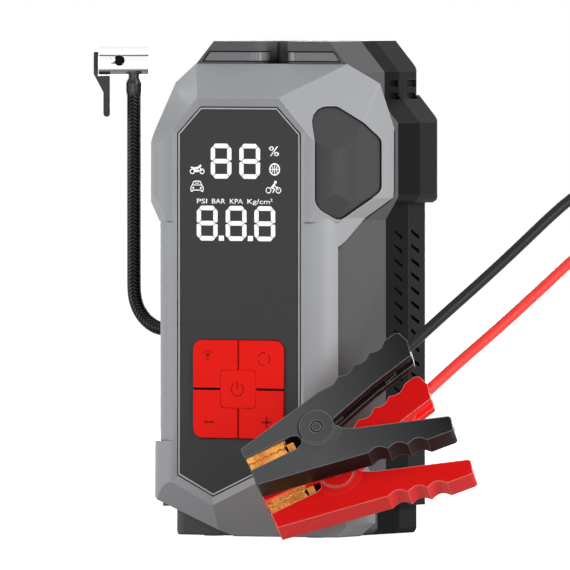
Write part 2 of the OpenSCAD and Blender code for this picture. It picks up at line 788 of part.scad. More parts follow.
// ---- Compressor ----
comp_y = seam_y - comp_in;
teeth_small = 10;
teeth_large = 40;
pinion_r = gear_module * teeth_small / 2;
gear_r = gear_module * teeth_large / 2;
gear_z = motor_z + pinion_r + gear_r;
frame_x = motor_len + 10.1 - casing_half + wall;
frame_t = 2.5;
fin_out = 4.2;
motor_front = frame_x - fit;
motor_tail = motor_front - motor_len;
gear_x = frame_x + frame_t + 0.4;
gear_t = 3.5;
pin_len = 2.2;
rod_x0 = gear_x + gear_t + pin_len + free_gap;
rod_t = 2;
cylinder_x = rod_x0 + rod_t / 2;
piston_len = 7;
shelf_z = gear_z + gear_r + 4;
shelf_t = 2.5;
cylinder_z = shelf_z + shelf_t;
piston_z = cylinder_z + 3;
shaft_r = 1.5;
axle_r = 2;

// Spur gear with plain tapered teeth, thin enough to run with backlash
module spur(teeth, r, t, turn) rotate([0, 90, 0]) linear_extrude(t) rotate(turn) {
  circle(r - 1.15 * gear_module);
  for (i = [0 : teeth - 1]) rotate(i * 360 / teeth)
    polygon([[0, -0.8 * gear_module], [r - gear_module, -0.8 * gear_module],
      [r + 0.8 * gear_module, -0.3 * gear_module], [r + 0.8 * gear_module, 0.3 * gear_module],
      [r - gear_module, 0.8 * gear_module], [0, 0.8 * gear_module]]);
}

module motor() color("#8d9096") translate([0, comp_y, motor_z]) difference() {
  union() {
    rod_x(motor_tail, motor_front, motor_r);
    rod_x(motor_tail - 2, motor_tail + 1, 4);
  }
  rod_x(motor_tail + 1.5, motor_front - 1.5, motor_r - 1.5);
  rod_x(motor_tail - 3, motor_front + 1, shaft_r + running);
}

module motor_rotor() color("#b07a3c") translate([0, comp_y, motor_z]) {
  rod_x(motor_tail - 7, gear_x + gear_t + 0.5, shaft_r);
  rod_x(motor_tail + 5, motor_front - 5, motor_r - 3);
}

module motor_fan() color("#2c2c2e") translate([motor_tail - 6.5, comp_y, motor_z]) difference() {
  union() {
    rod_x(0, 3.5, 4);
    for (a = [0 : 45 : 315]) rotate([a, 0, 0]) block(0.5, 3, -0.6, 0.6, 0, 11);
  }
  rod_x(-1, 5, shaft_r);
}

module pinion() color("#c9a24a") translate([gear_x, comp_y, motor_z]) difference() {
  spur(teeth_small, pinion_r, gear_t, 0);
  rod_x(-1, gear_t + 1, shaft_r);
}

module crank_gear() color("#dcdcd8") translate([gear_x, comp_y, gear_z]) {
  difference() {
    spur(teeth_large, gear_r, gear_t, 180 / teeth_large);
    rod_x(-1, gear_t + 1, axle_r + running);
  }
  translate([0, 0, -crank_r]) rod_x(gear_t - 0.5, gear_t + pin_len, 1.5);
}

module compressor_frame() color("#9ea1a6") difference() {
  union() {
    block(frame_x, frame_x + frame_t, comp_y - 13, comp_y + 13, base + wall + fit, shelf_z + shelf_t);
    block(frame_x, frame_x + 2 * (cylinder_x - frame_x) + 2, comp_y - 13, comp_y + 13, shelf_z,
      shelf_z + shelf_t - fit);
    translate([0, comp_y, gear_z]) rod_x(frame_x, gear_x + gear_t + 0.3, axle_r);
    block(frame_x, frame_x + 16, comp_y - 13, comp_y + 13, base + wall + fit, base + wall + 2.5);
  }
  translate([0, comp_y, motor_z]) rod_x(frame_x - 1, frame_x + frame_t + 1, shaft_r + free_gap);
  translate([cylinder_x, comp_y, shelf_z - 1]) cylinder(shelf_t + 2, r = bore_r - 1);
}

module cylinder_part(r1, z1, z2) translate([cylinder_x, comp_y, z1]) cylinder(z2 - z1, r = r1);
module pump_cylinder() color("#a9adb3") difference() {
  union() {
    cylinder_part(bore_r + 2, cylinder_z, cylinder_z + cylinder_len);
    for (i = [0 : 4]) let (z = cylinder_z + 1 + i * (cylinder_len - 4) / 4)
      cylinder_part(bore_r + fin_out, z, z + 1.4);
  }
  cylinder_part(bore_r, cylinder_z - 1, cylinder_z + cylinder_len + 1);
}

module piston() color("#d7d7d2") {
  cylinder_part(bore_r - running, piston_z, piston_z + piston_len);
  translate([0, comp_y, 0]) difference() {
    union() {
      block(rod_x0, rod_x0 + rod_t, -2, 2, gear_z - crank_r + 2, piston_z + 1);
      translate([0, 0, gear_z - crank_r]) rod_x(rod_x0, rod_x0 + rod_t, 3.6);
    }
    translate([0, 0, gear_z - crank_r]) rod_x(rod_x0 - 1, rod_x0 + rod_t + 1, 1.5 + running);
  }
}

head_z = cylinder_z + cylinder_len;
module pump_head() color("#8f9399") {
  cylinder_part(bore_r + fin_out, head_z, head_z + 3.5);
  cylinder_part(4, head_z + 3, head_z + 7);
}

pipe_x = wall + 5.2 - casing_half;
pipe_r = 2;
hose_y = behind(32);
module outlet_pipe() color("#6d6f73") {
  z = head_z + 9;
  translate([cylinder_x, comp_y, head_z + 7]) cylinder(2, r = pipe_r);
  translate([cylinder_x, comp_y, z]) sphere(pipe_r);
  translate([0, comp_y, z]) rod_x(pipe_x, cylinder_x, pipe_r);
  translate([pipe_x, comp_y, z]) sphere(pipe_r);
  translate([pipe_x, comp_y, outlet_z]) cylinder(z - outlet_z, r = pipe_r);
  translate([pipe_x, comp_y, outlet_z]) sphere(pipe_r);
  translate([pipe_x, 0, outlet_z]) rod_y(hose_y, comp_y, pipe_r);
  translate([pipe_x, hose_y, outlet_z]) sphere(pipe_r);
}

// ---- Hose, ferrule and chuck ----
gland_r = 5;
gland_out = 4;
hose_x0 = -casing_half - gland_out;
module hose_outlet() color("#2b2b2e") translate([0, hose_y, outlet_z]) difference() {
  union() {
    rod_x(-casing_half + 0.1, pipe_x - pipe_r, gland_r);
    rod_x(pipe_x - pipe_r - 1.6, pipe_x - pipe_r, gland_r + 1.4);
    rod_x(hose_x0, -casing_half, gland_r + 1.2);
    rod_x(-casing_half - 0.1, -casing_half + 0.2, gland_r);
  }
  rod_x(-casing_half + 1, pipe_x - pipe_r + 1, 1.2);
}

hose_x = -67.4;
ferrule_low = 177.8;
ferrule_len = 6.5;
neck_r = 2.2;
chuck_z = 192;

// Route of the free hose, from the outlet up to the ferrule
hose_route = [
  [-46, -8.5, 83], [-49, -8.5, 83], [-52, -8.5, 83], [-55, -8.5, 83.2], [-58, -8.5, 84.2],
  [-61, -8.5, 86], [-63.6, -8.5, 88.5], [-65.6, -8.5, 91.6], [-66.9, -8.5, 95],
  [-67.4, -8.5, 99], [-67.4, -8.5, 104], [-67.4, -8.5, 112], [-67.4, -8.5, 122],
  [-67.4, -8.5, 132], [-67.4, -8.5, 142], [-67.4, -8.5, 152], [-67.4, -8.5, 162],
  [-67.4, -8.5, 170], [-67.4, -8.5, 177.8]];

function direction(route, i) =
  unit(route[min(i + 1, len(route) - 1)] - route[max(i - 1, 0)]);
// Side vector of each ring, carried along so that the tube does not twist
function carried(route, i, v) = let (d = direction(route, i)) unit(v - (v * d) * d);
function sides_of(route, i = 0, v = [0, 1, 0.01], out = []) =
  i >= len(route) ? out
    : let (w = carried(route, i, v)) sides_of(route, i + 1, w, concat(out, [w]));

// Round tube swept along a route
module tube(route, r, sides) {
  frames = sides_of(route);
  rings = len(route);
  points = [for (i = [0 : rings - 1], k = [0 : sides - 1])
    let (d = direction(route, i), a = frames[i], b = cross(d, a), t = 360 * k / sides)
      route[i] + r * (cos(t) * a + sin(t) * b)];
  walls = [for (i = [0 : rings - 2], k = [0 : sides - 1])
    let (p = i * sides + k, q = i * sides + (k + 1) % sides)
      for (f = [[p, p + sides, q], [q, p + sides, q + sides]]) f];
  ends = concat([for (k = [1 : sides - 2]) [0, k, k + 1]],
    [for (k = [1 : sides - 2]) let (o = (rings - 1) * sides) [o, o + k + 1, o + k]]);
  polyhedron(points, concat(walls, ends));
}

module air_hose() color("#232327") tube(hose_route, hose_d / 2, 12);

module hose_ferrule() color("#3a3a3e") translate([hose_x, hose_y, ferrule_low])
  rotate_extrude() polygon(concat([[0, 0], [hose_d / 2 + 0.1, 0]],
    [[hose_d / 2 + 0.4, 1.5], [hose_d / 2 + 0.45, ferrule_len - 1.6], [hose_d / 2, ferrule_len - 0.4],
     [neck_r, ferrule_len + 0.6], [neck_r, chuck_z - ferrule_low - mouth_r - 0.6],
     [0, chuck_z - ferrule_low - mouth_r - 0.6]]));

// The chuck is drawn along X with the hose axis at the origin, then turned about the hose
chuck_right = 6.1;
chuck_left = chuck_right - chuck_len;
lever_pin_r = 0.5;
lever_gap = 1.05;
eye_r = 1;
lug_half = 1.2;
lever_x = chuck_left - lever_gap;
lever_up = 2.6;
finger_x = chuck_left + 1.9;
finger_r = 1.35;
finger_end = 22.9;
seal_t = 2.6;
seal_in = 1.4;
seal_wall = 0.8;
side_hole_x = -5.9;
side_hole_r = 2.2;
ball_x = -8.6;
ball_r = 1.5;
air_r = 0.8;
module at_chuck() translate([hose_x, hose_y, chuck_z]) rotate([0, 0, chuck_turn]) children();

module chuck_body() color(chrome_grey) at_chuck() {
  difference() {
    union() {
      rod_x(chuck_left, chuck_right, chuck_r);
      translate([lever_x, 0, lever_up]) rod_y(-lug_half, lug_half, eye_r);
      block(lever_x, chuck_left + 1, -lug_half, lug_half, lever_up - eye_r, lever_up + eye_r);
    }
    rod_x(chuck_right - mouth_depth, chuck_right + 1, mouth_r);
    rod_x(chuck_right - seal_in - seal_t, chuck_right - seal_in, mouth_r + seal_wall);
    rod_x(chuck_left + 4, chuck_right - mouth_depth + 1, mouth_r - 0.6);
    translate([side_hole_x, 0, 0]) rod_y(-chuck_r - 1, 0, side_hole_r);
    translate([0, 0, -chuck_r - 1]) cylinder(chuck_r + 1 - mouth_r - 0.6 + fit, r = neck_r + fit);
    translate([0, 0, -chuck_r]) cylinder(chuck_r, r = air_r);
    translate([lever_x, 0, lever_up]) rod_y(-lever_w, lever_w, lever_pin_r);
  }
  translate([ball_x, -chuck_r + 0.3, 0]) sphere(ball_r);
}

module chuck_seal() color("#26262a") at_chuck() difference() {
  rod_x(chuck_right - seal_in - seal_t + fit, chuck_right - seal_in - fit, mouth_r + seal_wall - fit);
  rod_x(0, chuck_right, mouth_r - 0.1);
}

module chuck_pin() color(chrome_grey) at_chuck() translate([lever_x, 0, lever_up])
  rod_y(-lever_w / 2 - fit, lever_w / 2 + fit, lever_pin_r);

// Lever: a fork round the lug of the chuck, with the finger hanging under the body
module chuck_lever() color("#333336") at_chuck() difference() {
  translate([0, lever_w / 2, lever_up]) rotate([90, 0, 0]) linear_extrude(lever_w) {
    under = -lever_up - chuck_r - free_gap - 0.1;
    tip = finger_r - finger_end - lever_up;
    translate([lever_x, 0]) circle(eye_r);
    polygon([[lever_x - eye_r, 0], [lever_x - eye_r, under + 0.8], [finger_x, under - 6.7],
      [finger_x, tip], [finger_x + 2 * finger_r, tip], [finger_x + 2 * finger_r, under],
      [chuck_left - free_gap, under], [chuck_left - free_gap, 0]]);
    translate([finger_x + finger_r, tip]) circle(finger_r);
  }
  translate([0, 0, lever_up]) block(lever_x - 2 * eye_r, chuck_left + 1, -lug_half - free_gap, lug_half + free_gap,
    -eye_r - free_gap, 2 * eye_r);
  translate([lever_x, 0, lever_up]) rod_y(-lever_w, lever_w, lever_pin_r + running);
}

// ---- Battery clamps ----
// Each clamp is drawn flat, pivot at the origin, jaws to -X, handles to +X
cheek_t = 2.5;
core_half = 3.2;
half_t = clamp_t / 2;
cheek_in = half_t - cheek_t;
slot_mid = -1.75;
slot_half = 2.9;
boss_proud = 0.7;
head_room = 0.6;
skirt_r = 11;
jaw_end = -31.4;
web_t = 2;

// Finger grooves along an edge from a to b: rows of shallow arcs
function grooves(a, b, count, depth, side) = [
  for (i = [0 : count - 1], k = [0 : 5])
    let (f = (i + k / 6) / count, p = a + (b - a) * f, d = unit(b - a))
      p + side * depth * sin(180 * k / 6) * [-d[1], d[0]]];

lower_outline = concat(
  [[jaw_end, slot_mid - slot_half], [jaw_end, -11.3], [9.5, -18.7], [14, -19.6]],
  grooves([14, -19.6], [37.5, -25.4], 3, 1.8, 1),
  [[37.5, -25.4], [47.6, -26.4], [48.8, -26], [49.9, -21.2], [49.3, -20.2], [41, -17.2],
   [14, -7.6], [9.4, -5.2], [7.3, -3], [6, -slot_half + slot_mid + 3], [0, -4],
   [-7.7, slot_mid], [-8.4, slot_mid - 2], [-11, slot_mid - slot_half]]);

upper_outline = concat(
  [[jaw_end, slot_mid + slot_half], [-11, slot_mid + slot_half], [-8.4, slot_mid + 2],
   [-7.7, slot_mid + 0.2], [0, 0], [7.7, 0.2], [27.3, 6], [46.7, 10.3], [48, 16.4], [46.5, 21], [44.7, 21.8]],
  [[39.6, 20.8]], grooves([39.6, 20.8], [17, 15.6], 3, -1.6, -1),
  [[17, 15.6], [13.6, 13.4], [6.6, 13.2], [-1.8, 11.4], [jaw_end, 5.5]]);

module layer(n1, n2) for (s = [0, 1]) mirror([0, 0, s]) translate([0, 0, n1])
  linear_extrude(n2 - n1) children();

module lower_arm(tint) color(tint) difference() {
  union() {
    layer(core_half, half_t) difference() {
      polygon(lower_outline);
      circle(boss_r + free_gap);
    }
    intersection() {
      for (s = [0, 1]) mirror([0, 0, s]) translate([0, 0, half_t - 0.2])
        cylinder(boss_proud + 0.2, r1 = skirt_r, r2 = boss_r + free_gap + 0.5);
      linear_extrude(clamp_t + 4, center = true) difference() {
        polygon(lower_outline);
        circle(boss_r + free_gap);
      }
    }
    layer(core_half, cheek_in - free_gap) {
      circle(boss_r - free_gap);
      polygon([[-6, -2], [-10, -12], [9, -16], [6, -2]]);
    }
    linear_extrude(clamp_t, center = true) intersection() {
      polygon(lower_outline);
      union() {
        translate([-40, -40]) square([30, 28.5]);
        polygon([[-40, -9.3], [9.5, -16.7], [14, -17.6 + 2], [37.5, -22.4], [60, -25], [60, -40], [-40, -40]]);
      }
    }
  }
  translate([0, 0, -far]) cylinder(2 * far, r = rivet_r + running);
}

module upper_arm(tint) color(tint) difference() {
  union() {
    layer(cheek_in, half_t) {
      polygon(upper_outline);
      circle(boss_r);
    }
    layer(half_t - 0.1, half_t + boss_proud) difference() {
      circle(boss_r);
      circle(rivet_head_r + head_room);
    }
    layer(core_half, cheek_in + 0.1) difference() {
      polygon(upper_outline);
      circle(boss_r + free_gap);
    }
    linear_extrude(clamp_t, center = true) intersection() {
      polygon(upper_outline);
      polygon([[-40, 3.4], [-1.8, 9.3], [8, 11.2], [14, 11.4], [17, 13], [39.6, 17.6], [60, 21.5], [60, 40], [-40, 40]]);
    }
    translate(handle_seat) rotate(handle_aim) block(-5, 0, -3.6, 3.6, -cheek_in, cheek_in);
  }
  translate([0, 0, -far]) cylinder(2 * far, r = rivet_r + running);
}

tooth_pitch = 3.2;
tooth_count = 5;
jaw_len = tooth_pitch * tooth_count;
jaw_t = 1.9;
tooth_h = 0.75;
stub_h = 3.6;
// Toothed copper strip, its back on the slot edge at height 0, its teeth pointing to +Y
module jaw_strip(flip) {
  x0 = jaw_end + 0.4;
  linear_extrude(2 * half_t - 2.4, center = true) mirror([0, flip])
    polygon(concat([[x0, 0], [x0, jaw_t]],
      [for (i = [0 : tooth_count - 1], k = [0, 1])
        [x0 + (i + 0.25 + k * 0.5) * tooth_pitch, jaw_t + (k == (flip ? 0 : 1) ? 0 : tooth_h)]],
      [[x0 + jaw_len, jaw_t], [x0 + jaw_len, 0.5], [jaw_end + 17.5, 0.5]],
      flip ? [[jaw_end + 17.5, 0]]
        : [[jaw_end + 17.5, stub_h], [jaw_end + 20.3, stub_h], [jaw_end + 20.3, 0]]));
}
module lower_jaw() color(copper_gold) translate([0, slot_mid - slot_half + 0.02]) jaw_strip(0);
module upper_jaw() color(copper_gold) translate([0, slot_mid + slot_half - 0.02]) jaw_strip(1);

module rivet(tint) color(tint) {
  tip = half_t + boss_proud - 0.1;
  rotate_extrude() polygon([[0, -tip], [rivet_head_r, -tip], [rivet_head_r, -half_t],
    [rivet_r, -half_t], [rivet_r, half_t], [rivet_head_r, half_t], [rivet_head_r, tip], [0, tip]]);
}

spring_wire = 1;
spring_turns = 4;
spring_r = rivet_r + running + spring_wire / 2 + 0.35;
spring_route = concat(
  [[spring_r + 9, 2.6, 1.25 - core_half], [spring_r + 5, 1.6, 1.25 - core_half]],
  [for (i = [0 : spring_turns * 8]) let (a = 45 * i)
    [spring_r * cos(a), spring_r * sin(a), 1.25 - core_half + i * 3.9 / (spring_turns * 8)]],
  [[spring_r + 4, -2.4, 0.7 + core_half - 1.25], [spring_r + 7.5, -5, 0.7 + core_half - 1.25]]);
module torsion_spring() color("#b8bbc0") tube(spring_route, spring_wire / 2, 6);

clamp_head = 0.8;
clamp_shift = [6.6, 12.5];
axis_side = [cos(clamp_turn), sin(clamp_turn), 0];
axis_up = [-sin(clamp_turn) * sin(clamp_lean), cos(clamp_turn) * sin(clamp_lean), cos(clamp_lean)];
axis_out = [sin(clamp_turn) * cos(clamp_lean), -cos(clamp_turn) * cos(clamp_lean), sin(clamp_lean)];
corner_mid = [waist_half - waist_r, front + waist_r, 0];
ridge_out = corner_mid * [sin(clamp_turn), -cos(clamp_turn), 0] + waist_r;
touch_z = 36;
seat_out = cos(clamp_lean) * (ridge_out - 2.3) + sin(clamp_lean) * touch_z + free_gap;
red_out = seat_out + half_t + clamp_head;
low_point = cos(clamp_lean) * (jaw_end * sin(clamp_roll) - 11.3 * cos(clamp_roll)) - half_t * sin(clamp_lean);
red_up = (0.1 - low_point - sin(clamp_lean) * red_out) / cos(clamp_lean);
red_side = 29;
red_pivot = red_side * axis_side + red_up * axis_up + red_out * axis_out;
black_pivot = red_pivot - clamp_shift[0] * axis_side + clamp_shift[1] * axis_up
  + (clamp_t + 2 * clamp_head + 0.1) * axis_out;

module place_clamp(pivot)
  translate(pivot) rotate([90 - clamp_lean, 0, clamp_turn]) rotate([0, 0, clamp_roll]) children();

module black_lower_arm() place_clamp(black_pivot) lower_arm(clamp_black);
module black_upper_arm() place_clamp(black_pivot) upper_arm(clamp_black);
module black_lower_jaw() place_clamp(black_pivot) lower_jaw();
module black_upper_jaw() place_clamp(black_pivot) upper_jaw();
module black_rivet() place_clamp(black_pivot) rivet(clamp_black);
module black_spring() place_clamp(black_pivot) torsion_spring();
module red_lower_arm() place_clamp(red_pivot) lower_arm(clamp_red);
module red_upper_arm() place_clamp(red_pivot) upper_arm(clamp_red);
module red_lower_jaw() place_clamp(red_pivot) lower_jaw();
module red_upper_jaw() place_clamp(red_pivot) upper_jaw();
module red_rivet() place_clamp(red_pivot) rivet(clamp_red);
module red_spring() place_clamp(red_pivot) torsion_spring();

// ---- Battery cables and their plug ----
// Each cable starts on a small bridge inside the handle and leaves along the handle end
handle_seat = [37, 13.3];
handle_aim = 17.8;
function clamp_point(pivot, p) = let (c = cos(clamp_roll), s = sin(clamp_roll))
  pivot + (p[0] * c - p[1] * s) * axis_side + (p[0] * s + p[1] * c) * axis_up;
function cable_start(pivot, d) =
  clamp_point(pivot, handle_seat + d * [cos(handle_aim), sin(handle_aim)]);
black_home = [48.7, -60.7, 43.3];
red_home = [50.6, -47.9, 25.7];

// Route points [x, y, z] of the free part, and how closely each one follows the clamp
black_route = [
  [94.8, -17.6, 100.4, 1], [103.1, -10.1, 110.3, 1], [111.5, -2.6, 120.6, 0.9],
  [119.6, 5, 131, 0.8], [127, 12.5, 139.5, 0.6], [134.5, 19.5, 144.5, 0.3],
  [142, 26, 144, 0.1], [149, 32.4, 138.8, 0], [154.6, 37.8, 130.5, 0],
  [158.6, 41.8, 119.5, 0], [161.5, 45, 107.5, 0], [163.5, 47.6, 95, 0], [165, 49.5, 82, 0],
  [166, 50.8, 69, 0], [166.6, 51.8, 56, 0], [167, 52.8, 43.5, 0], [167.4, 54.5, 31.5, 0],
  [167.8, 57.5, 20.5, 0], [168, 62.5, 11.5, 0], [167.47, 70.18, 7, 0]];
red_route = [
  [97.2, -5.4, 82.6, 1], [105.5, 2.1, 92.5, 1], [113.9, 9.6, 102.5, 0.9],
  [121.5, 16.6, 112, 0.8], [128.5, 23, 119.5, 0.6], [136, 29.8, 124, 0.3],
  [143.5, 36.6, 123.5, 0.1], [149.3, 42.2, 117.5, 0], [153, 46.3, 108, 0], [155, 49, 96.5, 0],
  [155.8, 50.8, 84, 0], [156, 52, 71.5, 0], [156, 52.8, 58, 0], [156, 53.4, 45, 0],
  [156, 54.4, 32.5, 0], [156, 56.5, 21.5, 0], [156, 61.2, 12, 0], [155.65, 68.1, 7, 0]];

function cable_path(pivot, home, route, end) = concat(
  [for (d = [0, 6, 12, 20, 30]) cable_start(pivot, d)],
  [for (r = route) [r[0], r[1], r[2]] + r[3] * (pivot - home)], [end]);

plug_at = [160, 78, 7];
plug_turn = 100;
plug_aim = [cos(plug_turn), sin(plug_turn), 0];
plug_side = [sin(plug_turn), -cos(plug_turn), 0];
cable_split = 6;
module cable_black() color("#202022")
  tube(cable_path(black_pivot, black_home, black_route, plug_at + cable_split * plug_side), cable_d / 2, 12);
module cable_red() color("#e8392a")
  tube(cable_path(red_pivot, red_home, red_route, plug_at - cable_split * plug_side), cable_d / 2, 12);

module lead_plug() color("#2c4fa8") translate(plug_at) rotate([0, 0, plug_turn]) {
  difference() {
    union() {
      block(0, 9, -9.5, 9.5, -5.5, 5.5);
      block(8.9, 30, -11.5, 11.5, -7, 7);
    }
    for (i = [0 : 3], s = [-1, 1]) translate([12 + 4 * i, 0, s * 7]) block(0, 1.6, -8, 8, -0.7, 0.7);
  }
  for (s = [-1, 1]) translate([0, s * contact_gap / 2, 0]) rod_x(29, 38, contact_r - 2 * running);
}

front_shell();
control_panel();
panel_trim();
side_insert();
front_casing();
middle_casing();
rear_cover();
light_bar_left();
light_bar_right();
rubber_feet();
casing_screws();
key_power();
key_light();
key_mode();
key_minus();
key_plus();
key_mat();
key_switches();
main_board();
display_module();
battery_cells();
battery_tray();
power_leads();
output_socket();
usb_a_port();
usb_c_port();
lamp_board();
motor();
motor_rotor();
motor_fan();
pinion();
crank_gear();
piston();
pump_cylinder();
pump_head();
compressor_frame();
outlet_pipe();
hose_outlet();
air_hose();
hose_ferrule();
chuck_body();
chuck_lever();
chuck_pin();
chuck_seal();
black_lower_arm();
black_upper_arm();
black_lower_jaw();
black_upper_jaw();
black_rivet();
black_spring();
red_lower_arm();
red_upper_arm();
red_lower_jaw();
red_upper_jaw();
red_rivet();
red_spring();
cable_black();
cable_red();
lead_plug();
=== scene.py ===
"""Looks of the jump starter pack: camera, light, materials, cords and fine details.

Lengths are in millimetres where MM or mm() turns them into metres, and in metres otherwise.
"""
import math
import bpy
import bmesh
from mathutils import Matrix, Vector
from mathutils.bvhtree import BVHTree


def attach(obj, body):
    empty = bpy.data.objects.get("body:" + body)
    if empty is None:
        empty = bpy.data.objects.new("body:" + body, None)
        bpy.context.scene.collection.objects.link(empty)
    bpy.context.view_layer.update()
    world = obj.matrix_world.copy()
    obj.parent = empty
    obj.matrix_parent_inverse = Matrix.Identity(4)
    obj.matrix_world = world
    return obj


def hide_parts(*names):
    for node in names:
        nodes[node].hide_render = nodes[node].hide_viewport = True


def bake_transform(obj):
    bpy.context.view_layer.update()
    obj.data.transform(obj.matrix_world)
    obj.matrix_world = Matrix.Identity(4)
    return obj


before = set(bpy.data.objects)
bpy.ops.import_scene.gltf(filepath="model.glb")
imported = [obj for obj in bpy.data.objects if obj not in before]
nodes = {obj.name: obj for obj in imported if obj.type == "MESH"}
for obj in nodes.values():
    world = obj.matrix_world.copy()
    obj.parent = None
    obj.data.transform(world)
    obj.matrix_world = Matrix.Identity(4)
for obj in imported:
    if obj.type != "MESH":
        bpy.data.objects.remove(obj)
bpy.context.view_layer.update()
MM = 0.001


def mm(x, y, z):
    return Vector((x * MM, y * MM, z * MM))


# ---- Camera: a long lens far off, as the picture shows next to no perspective ----
scene = bpy.context.scene
scene.view_settings.view_transform = "Standard"
TURN = math.radians(30)
LIFT = math.radians(1.2)
AIM = mm(16.4, -31, 102)
AWAY = 7.656
LENS, SENSOR = 1200, 36  # mm
SIGHT = 60

camera = bpy.data.objects.new("camera", bpy.data.cameras.new("camera"))
scene.collection.objects.link(camera)
toward = Vector((math.sin(TURN) * math.cos(LIFT), -math.cos(TURN) * math.cos(LIFT),
                 math.sin(LIFT)))
camera.location = AIM + toward * AWAY
camera.rotation_euler = toward.to_track_quat("Z", "Y").to_euler()
camera.data.lens = LENS
camera.data.sensor_width = SENSOR
camera.data.clip_end = SIGHT
scene.camera = camera


# ---- Lamps ----
LIT_POINT = Vector((0, 0, 0.1))


def area_light(name, place, size, power):
    """A rectangular lamp that faces the part, and that the camera doesn't see."""
    data = bpy.data.lights.new(name, "AREA")
    data.shape = "RECTANGLE"
    data.size, data.size_y = size
    data.energy = power
    lamp = bpy.data.objects.new(name, data)
    lamp.location = Vector(place)
    lamp.rotation_euler = (lamp.location - LIT_POINT).to_track_quat("Z", "Y").to_euler()
    lamp.visible_camera = False
    scene.collection.objects.link(lamp)


area_light("left_box", (-1.15, -0.6, 0.28), (0.5, 1.0), 12.5)
area_light("right_box", (1.15, -0.4, 0.52), (0.4, 0.9), 16)
area_light("top_box", (0.1, -0.2, 1.3), (0.9, 0.9), 0.3)
area_light("back_box", (-0.5, 1.3, 0.3), (1.0, 0.6), 20)
area_light("front_fill", (0.2, -1.4, 0.3), (0.7, 0.5), 2.5)


# ---- Node helpers ----
WHITE = (1, 1, 1)
# Sockets of a colour Mix node, by number because their names repeat
MIX_SHARE, MIX_FIRST, MIX_SECOND, MIX_RESULT = 0, 6, 7, 2


def new_material(name):
    """A material and its empty node tree."""
    material = bpy.data.materials.new(name)
    material.use_nodes = True
    material.node_tree.nodes.clear()
    return material, material.node_tree


def surface_shader(tree):
    """The one shader of a material, linked to its output."""
    out = tree.nodes.new("ShaderNodeOutputMaterial")
    shader = tree.nodes.new("ShaderNodeBsdfPrincipled")
    tree.links.new(shader.outputs[0], out.inputs["Surface"])
    return shader


def object_place(tree):
    return tree.nodes.new("ShaderNodeTexCoord").outputs["Object"]


def maths(tree, operation, *values):
    """The result of an operation on numbers and on the outputs of other nodes."""
    node = tree.nodes.new("ShaderNodeMath")
    node.operation = operation
    for socket, value in zip(node.inputs, values):
        if isinstance(value, (int, float)):
            socket.default_value = value
        else:
            tree.links.new(value, socket)
    return node.outputs[0]


def mapped(tree, value, start, end, to_start=0.0, to_end=1.0):
    """A value brought from the range start to end into the range to_start to to_end."""
    node = tree.nodes.new("ShaderNodeMapRange")
    node.inputs["From Min"].default_value = start
    node.inputs["From Max"].default_value = end
    node.inputs["To Min"].default_value = to_start
    node.inputs["To Max"].default_value = to_end
    tree.links.new(value, node.inputs["Value"])
    return node.outputs["Result"]


def mixed_in(tree, share, colour, tone):
    """The colour with a share of a tone in it."""
    blend = tree.nodes.new("ShaderNodeMix")
    blend.data_type = "RGBA"
    blend.inputs[MIX_SECOND].default_value = (*tone, 1)
    tree.links.new(share, blend.inputs[MIX_SHARE])
    tree.links.new(colour, blend.inputs[MIX_FIRST])
    return blend.outputs[MIX_RESULT]


def dot(tree, direction, other):
    """The dot product of a vector output with another one or with a fixed direction."""
    node = tree.nodes.new("ShaderNodeVectorMath")
    node.operation = "DOT_PRODUCT"
    tree.links.new(direction, node.inputs[0])
    if isinstance(other, Vector):
        node.inputs[1].default_value = other
    else:
        tree.links.new(other, node.inputs[1])
    return node.outputs["Value"]


def noise(tree, place, scale, detail):
    node = tree.nodes.new("ShaderNodeTexNoise")
    node.inputs["Scale"].default_value = scale
    node.inputs["Detail"].default_value = detail
    tree.links.new(place, node.inputs["Vector"])
    return node.outputs["Fac"]


def two_tone(tree, share, dark, light, low=0.0, high=1.0):
    """A colour that runs from dark at low to light at high."""
    ramp = tree.nodes.new("ShaderNodeValToRGB")
    for stop, place, tone in zip(ramp.color_ramp.elements, (low, high), (dark, light)):
        stop.position = place
        stop.color = (*tone, 1)
    tree.links.new(share, ramp.inputs["Fac"])
    return ramp.outputs["Color"]


def softened_normal(tree, radius, samples):
    """The normal as if the edges were rounded."""
    node = tree.nodes.new("ShaderNodeBevel")
    node.samples = samples
    node.inputs["Radius"].default_value = radius
    return node.outputs[0]


def raise_surface(tree, shader, height, strength, distance, over=None):
    """Give a shader the bumps of a height, on top of another normal where there is one."""
    bumps = tree.nodes.new("ShaderNodeBump")
    bumps.inputs["Strength"].default_value = strength
    bumps.inputs["Distance"].default_value = distance
    tree.links.new(height, bumps.inputs["Height"])
    if over is not None:
        tree.links.new(over, bumps.inputs["Normal"])
    tree.links.new(bumps.outputs[0], shader.inputs["Normal"])


def seen_directly(tree):
    """1 for what the camera, mirrors and glass see, 0 for what only lights other surfaces."""
    path = tree.nodes.new("ShaderNodeLightPath").outputs
    mirrored = maths(tree, "MAXIMUM", path["Is Camera Ray"], path["Is Glossy Ray"])
    return maths(tree, "MAXIMUM", mirrored, path["Is Transmission Ray"])


# ---- World: white all round, with a dark strip of studio wall that only mirrors show ----
SOFT_LIGHT, SOFT_STRENGTH = (0.93, 0.95, 1), 0.28
WALL_STRIP = ((0.55, 1), (0.57, 0.02), (0.66, 0.08), (0.74, 1))  # height of the view, tone


